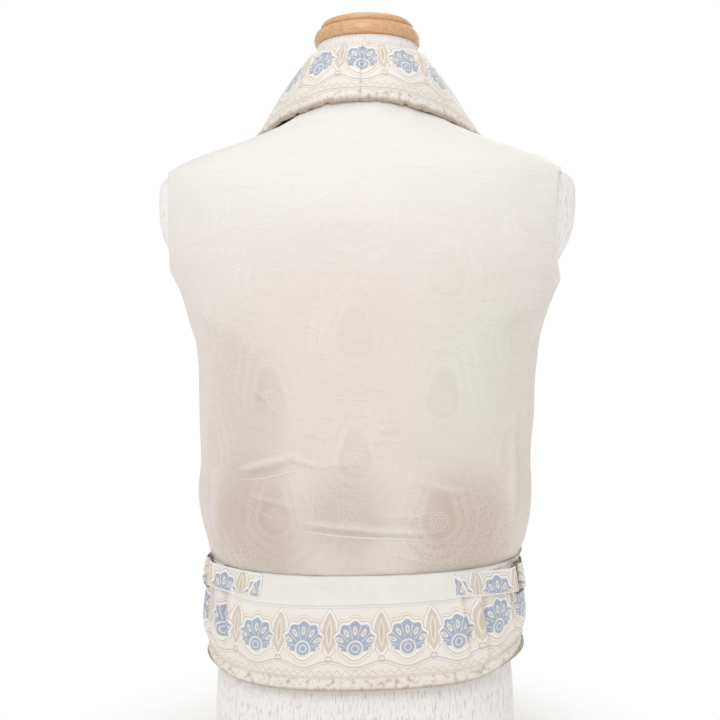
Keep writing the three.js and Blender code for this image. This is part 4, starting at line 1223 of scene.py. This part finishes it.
def body_cloth_look(colours):
    """The same cotton with a tone-on-tone print of rosettes and scrolls in fine lines."""

    def build(tree):
        def do(operation, *values):
            return add(tree, "Math:" + operation, *values)

        def soft(value, low, high, strength=1.0):
            return add(tree, "MapRange", value, low, high, 0.0, strength, interpolation_type="SMOOTHSTEP")

        def spot(u, v, wide, high, strength):
            across, up = do("SUBTRACT", at_u, u), do("SUBTRACT", at_v, v)
            distance = do("SQRT", do("ADD", do("POWER", do("DIVIDE", across, wide), 2.0),
                          do("POWER", do("DIVIDE", up, high), 2.0)))
            return soft(distance, 1.0, 0.25, strength)

        place = cut_place(tree, 1.2, 22.0)
        at_u = add(tree, "SeparateXYZ", place)
        at_v = at_u.node.outputs[1]
        column = do("ROUND", do("DIVIDE", at_u, DROP["across"]))
        a = do("ABSOLUTE", do("SUBTRACT", at_u, do("MULTIPLY", column, DROP["across"])))
        dropped = do("ADD", at_v, do("MULTIPLY", do("PINGPONG", column, 1.0), DROP["up"] / 2))
        rows = do("ROUND", do("DIVIDE", dropped, DROP["up"]))
        b = do("SUBTRACT", dropped, do("MULTIPLY", rows, DROP["up"]))
        r = do("SQRT", do("ADD", do("POWER", a, 2.0), do("POWER", b, 2.0)))
        angle = do("ARCTAN2", a, b)
        tip = do("EXPONENT", do("MULTIPLY", do("POWER", do("DIVIDE", angle, DROP["tip_angle"]), 2.0), -1.0))
        outline = do("ADD", DROP["radius"], do("MULTIPLY", tip, DROP["tip"]))
        share = do("DIVIDE", r, outline)
        lines = 0.0
        for low_share, high_share, pitch in ((0.92, 1.2, 0.1), (1.5, 1.78, 0.11), (2.15, 2.4, 0.11)):
            ringed = soft(do("COSINE", do("MULTIPLY", share, 2 * math.pi / pitch)), 0.2, 0.9)
            above = soft(share, low_share - 0.03, low_share)
            among = do("MULTIPLY", above, soft(share, high_share + 0.03, high_share))
            lines = do("MAXIMUM", lines, do("MULTIPLY", ringed, among))
        lace = add(
            tree, "TexVoronoi", place, named={"Scale": 1 / 5.5},
            voronoi_dimensions="2D", feature="DISTANCE_TO_EDGE",
        )
        lines = do("MAXIMUM", lines, do("MULTIPLY", soft(lace, 0.1, 0.03, 0.75), soft(share, 0.96, 1.04)))
        petals = do("ADD", 1.0, do("MULTIPLY", do("COSINE", do("MULTIPLY", angle, 8.0)), 0.16))
        flower = do("COSINE", do("MULTIPLY", do("DIVIDE", r, petals), 2 * math.pi / 3.4))
        flower = do("MULTIPLY", soft(flower, 0.3, 0.9), soft(r, 11.0, 10.0))
        seeds = add(
            tree, "TexVoronoi", place, named={"Scale": 1 / 11.0, "Randomness": 1.0}, voronoi_dimensions="2D"
        )
        seeds = soft(do("COSINE", do("MULTIPLY", seeds, 2 * math.pi * 3.0)), 0.45, 1.0, 0.5)
        seeds = do("MULTIPLY", seeds, soft(share, 1.36, 1.5))
        lines = do("MAXIMUM", do("MAXIMUM", lines, flower), seeds)
        patch = add(tree, "TexNoise", place, named={"Scale": 1 / 80, "Detail": 1.0})
        worn = add(tree, "MapRange", patch, 0.38, 0.62, 0.3, 1.0)
        lines = do("MULTIPLY", do("MULTIPLY", lines, worn), soft(at_v, 430, 330))
        filled = do("MULTIPLY", do("MULTIPLY", soft(share, 1.0, 0.85), worn), soft(at_v, 330, 120, 0.11))
        top, middle, low, green, pink, brown = (
            srgb(getattr(colours, name))
            for name in ("body_top_tone_and_light", "body", "body_low_tone_and_shade", "green", "pink", "brown")
        )
        # Darker low on the body: partly the cloth's own tone, partly painted shade.
        down = soft(at_v, 300, 20)
        # lit and shaded are painted light: a painted highlight on the creases' ridges and along the sharp
        # creases, and painted shade in their troughs.
        lit, shaded = srgb("FDFBF8"), srgb("BBAB9D")
        fold = add(tree, "Attribute", out=2, attribute_name="fold")
        sharp = 0.0
        for start_u, start_v, end_u, end_v, wide, strong in SHARP_CREASES:
            long = math.hypot(end_u - start_u, end_v - start_v)
            way = (end_u - start_u) / long, (end_v - start_v) / long
            from_u, from_v = do("SUBTRACT", at_u, start_u), do("SUBTRACT", at_v, start_v)
            along = do("ADD", do("MULTIPLY", from_u, way[0] / long), do("MULTIPLY", from_v, way[1] / long))
            aside = do("SUBTRACT", do("MULTIPLY", from_v, way[0]), do("MULTIPLY", from_u, way[1]))
            bent = do("SINE", do("MULTIPLY_ADD", along, 5.0, start_u))
            aside = do("ADD", aside, do("MULTIPLY", bent, wide))
            ends = do("MULTIPLY", soft(along, -0.05, 0.3), soft(along, 1.05, 0.7))
            sharp = do("MAXIMUM", sharp, do("MULTIPLY", soft(do("ABSOLUTE", aside), wide, 0.0, strong), ends))
        # The light shoulders and the darker cloth low on the body, with the sand spots at its lower corners,
        # are partly the cloth's own tone and partly painted light from above and painted shade where the
        # cloth turns in to the waist.
        colour = layers(
            tree, top,
            (soft(at_v, 395, 230), middle),
            (do("MULTIPLY", down, 0.75), low),
            (spot(12, 215, 95, 130, 0.55), pink),
            (spot(-112, 190, 80, 130, 0.75), green),
            (spot(108, 150, 60, 130, 0.35), brown),
            (spot(10, 60, 55, 60, 0.5), brown),
            (spot(104, 34, 76, 92, 0.72), brown),
            (spot(-104, 34, 76, 92, 0.8), brown),
            (filled, brown),
            (do("MULTIPLY", lines, 0.3), srgb("FBFAF6")),
            # Painted shade in the crease troughs, painted highlight on the crease ridges and along the sharp
            # creases.
            (soft(fold, -0.3, -2.6, 0.3), shaded),
            (soft(fold, 0.6, 3.4, 0.3), lit),
            (do("MULTIPLY", sharp, 0.65), lit),
        )
        weave = add(tree, "TexNoise", place, named={"Scale": 1 / WEAVE, "Detail": 1.0})
        height = do("ADD", do("MULTIPLY", weave, 0.6), do("MULTIPLY", lines, 0.4))
        slant = {"Rotation": (0, 0, 0.22), "Scale": (0.35, 1, 1)}
        slanted = add(tree, "Mapping", place, vector_type="POINT", named=slant)
        rumpled = add(
            tree, "TexNoise", slanted, named={"Scale": 1 / RUMPLE, "Detail": 2.0, "Distortion": 0.8}
        )
        off_middle = do("MULTIPLY", do("ABSOLUTE", do("SUBTRACT", rumpled, 0.5)), 2.0)
        ridge = do("POWER", do("SUBTRACT", 1.0, off_middle), 6.0)
        ridge = do("ADD", ridge, do("MULTIPLY", sharp, 3.0))
        folds = add(tree, "Bump", named={"Strength": 0.45, "Distance": 0.9 * MM, "Height": ridge})
        normal = add(
            tree, "Bump", named={"Strength": 0.3, "Distance": 0.15 * MM, "Height": height, "Normal": folds}
        )
        return {"Base Color": colour, "Normal": normal}

    return material("printed_satin_faced_cotton_body", build, **COTTON)


def tab_look(colours):
    """The border cloth with narrow white piped edges and one row of white stitching."""
    made = border_cloth_look(colours).copy()
    made.name = "piped_satin_faced_cotton_tab"
    tree = made.node_tree
    shader = next(node for node in tree.nodes if node.type == "BSDF_PRINCIPLED")
    ink = shader.inputs["Base Color"].links[0].from_socket
    trim = add(tree, "Attribute", out=2, attribute_name="trim")
    tree.links.new(layers(tree, ink, (trim, srgb(colours.piping))), shader.inputs["Base Color"])
    return made


def thread_look(colours):
    """Spun cotton thread: matt, with twist marks across it."""

    def build(tree):
        place = add(tree, "TexCoord", out=3)
        twist = add(tree, "TexNoise", place, named={"Scale": 1 / (0.8 * MM)})
        shade = add(tree, "MapRange", twist, 0.3, 0.7, 0.86, 1.04)
        return {"Base Color": add(tree, "VectorMath:SCALE", srgb(colours.thread)[:3], named={"Scale": shade})}

    return material("spun_cotton_thread", build, Roughness=0.75, **{"Sheen Weight": 0.3})


# The linen's thick threads, finest first: their width and length in mm, between which values of the noise
# they come in, and where the noise is read.
SLUBS = ((1.15, 11.0, 0.57, 0.66, 0.0), (2.6, 26.0, 0.6, 0.7, 40.0), (9.0, 1.2, 0.66, 0.74, 90.0))


def linen_look(colours):
    """Slubby plain-weave linen: matt, with thick grey threads that run up it in short streaks."""

    def build(tree):
        place = cut_place(tree, 0.3, 6.0)
        streaks = []
        for wide, long, low, high, seed in SLUBS:
            scaled = add(tree, "VectorMath:MULTIPLY", place, (1 / wide, 1 / long, 1.0))
            shifted = add(tree, "VectorMath:ADD", scaled, (seed, seed / 2, 0.0))
            noise = add(tree, "TexNoise", shifted, named={"Scale": 1.0, "Detail": 1.0})
            streaks.append(add(tree, "MapRange", noise, low, high, 0.0, 1.0, interpolation_type="SMOOTHSTEP"))
        both = add(tree, "Math:MAXIMUM", streaks[0], add(tree, "Math:MULTIPLY", streaks[1], 0.6))
        slubs = add(tree, "Math:MAXIMUM", both, add(tree, "Math:MULTIPLY", streaks[2], 0.3))
        greyed = add(tree, "Math:MULTIPLY", slubs, 0.7)
        colour = layers(tree, srgb(colours.linen), (greyed, srgb(colours.slub)))
        weave = add(tree, "TexNoise", place, named={"Scale": 1 / WEAVE, "Detail": 1.0})
        height = add(tree, "Math:ADD", weave, slubs)
        normal = add(tree, "Bump", named={"Strength": 0.5, "Distance": 0.25 * MM, "Height": height})
        return {"Base Color": colour, "Normal": normal}

    matt = {"Sheen Weight": 0.15, "Specular IOR Level": 0.25}
    return material("woven_slub_linen", build, Roughness=0.85, **matt)


def beech_look(colours):
    """Turned beech under satin varnish: warm, with fine long grain, short dark flecks and a soft gloss."""

    def build(tree):
        place = add(tree, "TexCoord", out=3)
        grain_place = add(tree, "VectorMath:MULTIPLY", place, (1 / (26 * MM), 1 / (1.6 * MM), 1 / (2.4 * MM)))
        grain = add(tree, "TexNoise", grain_place, named={"Scale": 1.0, "Detail": 4.0, "Distortion": 0.4})
        fleck_place = add(tree, "VectorMath:MULTIPLY", place, (1 / (5 * MM), 1 / (0.9 * MM), 1 / (1.1 * MM)))
        flecks = add(tree, "TexNoise", fleck_place, named={"Scale": 1.0})
        fleck = add(tree, "MapRange", flecks, 0.62, 0.7, 0.0, 0.45, interpolation_type="SMOOTHSTEP")
        share = add(tree, "MapRange", grain, 0.3, 0.7, 0.0, 1.0)
        colour = layers(
            tree, srgb(colours.wood_light), (share, srgb(colours.wood_dark)), (fleck, srgb("A8713F"))
        )
        normal = add(tree, "Bump", named={"Strength": 0.2, "Distance": 0.1 * MM, "Height": grain})
        return {"Base Color": colour, "Normal": normal}

    varnish = {"Coat Weight": 0.3, "Coat Roughness": 0.25}
    return material("turned_varnished_beech", build, Roughness=0.36, **varnish)


def brass_look(colours):
    """Cast brass with a dark antique patina: brown and cloudy, with a soft shine."""

    def build(tree):
        place = add(tree, "TexCoord", out=3)
        patina = add(tree, "TexNoise", place, named={"Scale": 1 / (7 * MM), "Detail": 2.0})
        share = add(tree, "MapRange", patina, 0.4, 0.62, 0.0, 0.6)
        colour = layers(tree, srgb(colours.metal), (share, srgb("54463A")))
        rough = add(tree, "MapRange", patina, 0.35, 0.65, 0.28, 0.5)
        normal = add(tree, "Bump", named={"Strength": 0.3, "Distance": 0.08 * MM, "Height": patina})
        return {"Base Color": colour, "Roughness": rough, "Normal": normal}

    return material("antiqued_cast_brass", build, Metallic=1.0)


def button_look(colours):
    """Polished cast polyester: cream with cloudy swirls, glossy all over."""

    def build(tree):
        place = add(tree, "TexCoord", out=3)
        cloud = add(tree, "TexNoise", place, named={"Scale": 1 / (5 * MM), "Detail": 3.0, "Distortion": 2.0})
        share = add(tree, "MapRange", cloud, 0.35, 0.65, 0.0, 0.6)
        colour = layers(tree, srgb(colours.button), (share, srgb("F8F4EA")))
        normal = add(tree, "Bump", named={"Strength": 0.05, "Distance": 0.05 * MM, "Height": cloud})
        return {"Base Color": colour, "Normal": normal}

    return material("polished_cast_polyester", build, Roughness=0.18, IOR=1.54, **{"Coat Weight": 0.2})


def paper_look():
    """Seamless background paper: matt white near the object, and lit to pure white away from it."""

    def build(tree):
        place = add(tree, "TexCoord", out=3)
        fibre = add(tree, "TexNoise", place, named={"Scale": 1 / (3 * MM)})
        away = add(tree, "VectorMath:LENGTH", place, out=1)
        lit = add(tree, "MapRange", away, 0.17, 0.4, 0.0, 1.0, interpolation_type="SMOOTHSTEP")
        shade = add(tree, "MapRange", fibre, 0.3, 0.7, 0.93, 0.95)
        shade = add(tree, "Math:MULTIPLY", shade, add(tree, "Math:SUBTRACT", 1.0, lit))
        return {"Base Color": add(tree, "CombineColor", shade, shade, shade), "Emission Strength": lit}

    lighting = {"Emission Color": (1, 1, 1, 1), "Specular IOR Level": 0.0}
    return material("matt_background_paper", build, Roughness=0.9, **lighting)


# ---- Stage ----
CAMERA = {"turn": 4.5, "away": 1000, "height": 480, "pitch": 2.52, "lens": 50, "sensor": 36}
CAMERA_SHIFT = 5  # the camera stands this far to the side of the line through the form's axis
FLOOR_SIDES = 96
FLOOR_PROFILE = ((0, -4), (5200, -4), (5200, -0.4), (2600, -0.4), (600, -0.4), (0, -0.4))


def light(name, place, size, power, aim=(0, 0, 0.4)):
    lamp = bpy.data.lights.new(name, "AREA")
    lamp.shape = "DISK"
    lamp.size = size
    lamp.energy = power
    lamp_object = bpy.data.objects.new(name, lamp)
    bpy.context.scene.collection.objects.link(lamp_object)
    lamp_object.location = place
    lamp_object.rotation_euler = (Vector(aim) - Vector(place)).to_track_quat("-Z", "Y").to_euler()
    return lamp_object


def build_stage(settings):
    scene = bpy.context.scene
    angle = math.radians(CAMERA["turn"])
    data = bpy.data.cameras.new("studio_camera")
    data.lens, data.sensor_width = CAMERA["lens"], CAMERA["sensor"]
    camera = bpy.data.objects.new("studio_camera", data)
    scene.collection.objects.link(camera)
    camera.location = (
        (-CAMERA["away"] * math.sin(angle) + CAMERA_SHIFT) * MM,
        (AXIS_Y + CAMERA["away"] * math.cos(angle)) * MM,
        CAMERA["height"] * MM,
    )
    camera.rotation_euler = (math.radians(90 - CAMERA["pitch"]), 0, math.pi + angle)
    scene.camera = camera
    scene.view_settings.view_transform = "Standard"
    scene.view_settings.look = "None"

    floor_points, floor_faces = lathe(FLOOR_PROFILE, FLOOR_SIDES)
    mesh = bpy.data.meshes.new("studio_floor")
    mesh.from_pydata((floor_points * MM).tolist(), [], floor_faces)
    mesh.materials.append(paper_look())
    floor = bpy.data.objects.new("studio_floor", mesh)
    scene.collection.objects.link(floor)

    world = bpy.data.worlds.new("studio_air")
    world.use_nodes = True
    tree = world.node_tree
    tree.nodes.clear()
    seen = add(tree, "Background", (1, 1, 1, 1), 1.0)
    felt = add(tree, "Background", (1, 0.985, 0.965, 1), settings.ambient)
    path = add(tree, "LightPath")
    add(tree, "OutputWorld", add(tree, "MixShader", path, felt, seen))
    scene.world = world
    light("key_softbox", (0.35, 1.9, 2.0), 1.3, settings.key)
    light("top_softbox", (0.0, 0.2, 2.4), 1.6, settings.top)
    light("front_softbox", (-0.6, -2.0, 1.4), 1.4, settings.front)


# ---- Add-on ----
def length(name, text, default, low, high):
    """A length in millimetres."""
    return FloatProperty(name=name, description=text, default=default, min=low, max=high)


def colour_code(name, text, default):
    return StringProperty(name=name, description=text + ", as six sRGB hex digits", default=default, maxlen=6)


class VestSizes(bpy.types.PropertyGroup):
    thickness: length("Cloth thickness", "Thickness of the padded cloth in mm", 3.6, 1, 6)
    crease: FloatProperty(
        name="Creases", description="Height of the creases, 1 for soft ones", default=2.2, min=0, max=3
    )
    roll_height: length("Roll height", "Height of the padded roll along hem and collar in mm", 10.5, 5, 20)
    roll_puff: length("Roll puff", "How far the padded roll stands proud in mm", 2.6, 0, 5)
    stitch_pitch: length("Stitch pitch", "Distance from one topstitch to the next in mm", 3.0, 1.5, 8)
    mesh_step: length("Mesh step", "Size of the cloth's mesh faces in mm", 2.35, 1.5, 12)
    fill: FloatProperty(name="Padding", description="How full the padding is", default=0.35, min=0, max=1)


class VestColours(bpy.types.PropertyGroup):
    # The body tones are partly the cloth's own colour and partly painted light and shade: lighter on the
    # shoulders, darker low on the body and at its lower corners.
    body_top_tone_and_light: colour_code("Shoulders", "Body cloth on the shoulders", "F1EEE9")
    body: colour_code("Body", "Body cloth at the middle", "EBE3DD")
    body_low_tone_and_shade: colour_code("Body low", "Body cloth above the waist seam", "E0D7CC")
    pink: colour_code("Blush", "Warm tint in the middle of the back", "EADED8")
    green: colour_code("Sage", "Cool tint at one side of the back", "E3E1D6")
    brown: colour_code("Sand", "Darker tint low on the body", "C6B5A6")
    strip: colour_code("Strip", "Plain strip under the waist seam", "F2EEE9")
    blue: colour_code("Blue", "Blue of the border print", "A7B3C6")
    cream: colour_code("Cream", "Cream of the border print", "F5EEE4")
    taupe: colour_code("Taupe", "Taupe of the border print", "C9B8A6")
    hem: colour_code("Roll", "Padded roll along the hem", "F0EAE1")
    piping: colour_code("Piping", "Piped edges of the side tabs", "F6F3EE")
    thread: colour_code("Thread", "Topstitching thread", "E9E0D3")
    linen: colour_code("Linen", "Linen of the dress form", "FCF9F7")
    slub: colour_code("Slubs", "Thick threads in the linen", "D6D0CD")
    wood_light: colour_code("Beech", "Light grain of the beech", "E6BB92")
    wood_dark: colour_code("Beech grain", "Dark grain of the beech", "D09D6A")
    metal: colour_code("Brass", "Antique brass", "8A7862")
    button: colour_code("Buttons", "Buttons", "EDE4D3")


class VestStage(bpy.types.PropertyGroup):
    ambient: FloatProperty(
        name="Ambient", description="Strength of the light from all round", default=0.62, min=0
    )
    key: FloatProperty(name="Key light", description="Key light", default=14, min=0, unit="POWER")
    top: FloatProperty(name="Top light", description="Top light", default=8, min=0, unit="POWER")
    front: FloatProperty(
        name="Far light", description="Light on the far side", default=9, min=0, unit="POWER"
    )


class VEST_OT_body(bpy.types.Operator):
    """Make the padded back and the two padded fronts"""

    bl_idname = "vest.body"
    bl_label = "Body panels"

    def execute(self, context):
        scene = context.scene
        look = body_cloth_look(scene.vest_colours)
        body_panel("back_panel", "vest_back", BACK, BACK_CREASES, scene.vest_sizes, look)
        body_panel("front_panel_left", "vest_front_left", LEFT, FRONT_CREASES, scene.vest_sizes, look)
        body_panel("front_panel_right", "vest_front_right", RIGHT, FRONT_CREASES, scene.vest_sizes, look)
        return {"FINISHED"}


class VEST_OT_bands(bpy.types.Operator):
    """Make the printed hem band in its three lengths, with its padded roll"""

    bl_idname = "vest.bands"
    bl_label = "Hem bands"

    def execute(self, context):
        scene = context.scene
        look = border_cloth_look(scene.vest_colours)
        hem_band("band_back", "vest_band_back", BACK, BAND_CREASES, scene.vest_sizes, look)
        hem_band("band_front_left", "vest_band_left", LEFT, FRONT_BAND_CREASES, scene.vest_sizes, look)
        hem_band("band_front_right", "vest_band_right", RIGHT, FRONT_BAND_CREASES, scene.vest_sizes, look)
        return {"FINISHED"}


class VEST_OT_collar(bpy.types.Operator):
    """Make the two halves of the turned-down collar"""

    bl_idname = "vest.collar"
    bl_label = "Collar"

    def execute(self, context):
        scene = context.scene
        look = border_cloth_look(scene.vest_colours)
        for side, word in ((1, "left"), (-1, "right")):
            collar_half(f"collar_{word}", f"vest_collar_{word}", side, scene.vest_sizes, look)
        return {"FINISHED"}


class VEST_OT_tabs(bpy.types.Operator):
    """Make the four side tabs"""

    bl_idname = "vest.tabs"
    bl_label = "Side tabs"

    def execute(self, context):
        scene = context.scene
        look = tab_look(scene.vest_colours)
        for side, word in ((1, "left"), (-1, "right")):
            for part in ("back", "front"):
                side_tab(f"tab_{word}_{part}", f"vest_tab_{word}_{part}", side, part, look)
        return {"FINISHED"}


class VEST_OT_rings(bpy.types.Operator):
    """Round and finish the two side rings"""

    bl_idname = "vest.rings"
    bl_label = "Rings"

    def execute(self, context):
        look = brass_look(context.scene.vest_colours)
        for node in ("ring_left", "ring_right"):
            refine(NODES[node], look, 2)
        return {"FINISHED"}


class VEST_OT_buttons(bpy.types.Operator):
    """Make the front buttons and the thread that holds them"""

    bl_idname = "vest.buttons"
    bl_label = "Buttons"

    def execute(self, context):
        scene = context.scene
        look = button_look(scene.vest_colours)
        for node in sorted(name for name in NODES if name.startswith("button_")):
            button(node, look)
        return {"FINISHED"}


class VEST_OT_form(bpy.types.Operator):
    """Make the dress form: its linen cover, turned cap and base board"""

    bl_idname = "vest.form"
    bl_label = "Dress form"

    def execute(self, context):
        scene = context.scene
        torso_piece(linen_look(scene.vest_colours))
        wood = beech_look(scene.vest_colours)
        cap_piece(wood)
        board = NODES["form_base_board"]
        bevel = board.modifiers.new("Rounded edge", "BEVEL")
        bevel.width, bevel.segments, bevel.limit_method = 2.5 * MM, 4, "ANGLE"
        bevel.angle_limit = math.radians(40)
        board.data.materials.clear()
        board.data.materials.append(wood)
        return {"FINISHED"}


class VEST_OT_stage(bpy.types.Operator):
    """Set up the floor, the lights and the camera"""

    bl_idname = "vest.stage"
    bl_label = "Stage"

    def execute(self, context):
        build_stage(context.scene.vest_stage)
        return {"FINISHED"}


STEPS = (
    VEST_OT_form, VEST_OT_body, VEST_OT_bands, VEST_OT_collar, VEST_OT_tabs, VEST_OT_rings, VEST_OT_buttons,
    VEST_OT_stage,
)
GROUPS = {"vest_sizes": VestSizes, "vest_colours": VestColours, "vest_stage": VestStage}


class VEST_PT_panel(bpy.types.Panel):
    """Sizes, colours and steps of the vest"""

    bl_label = "Padded vest"
    bl_idname = "VEST_PT_panel"
    bl_space_type = "VIEW_3D"
    bl_region_type = "UI"
    bl_category = "Vest"

    def draw(self, context):
        for name, group in GROUPS.items():
            box = self.layout.box()
            for field in group.__annotations__:
                box.prop(getattr(context.scene, name), field)
        for step in STEPS:
            self.layout.operator(step.bl_idname)


def register():
    for kind in (*GROUPS.values(), *STEPS, VEST_PT_panel):
        bpy.utils.register_class(kind)
    for name, group in GROUPS.items():
        setattr(bpy.types.Scene, name, PointerProperty(type=group))


def unregister():
    for name in GROUPS:
        delattr(bpy.types.Scene, name)
    for kind in (VEST_PT_panel, *reversed(STEPS), *reversed(GROUPS.values())):
        bpy.utils.unregister_class(kind)


def main():
    register()
    for step in STEPS:
        family, name = step.bl_idname.split(".")
        getattr(getattr(bpy.ops, family), name)()
    bpy.context.view_layer.update()


if __name__ == "__main__":
    main()
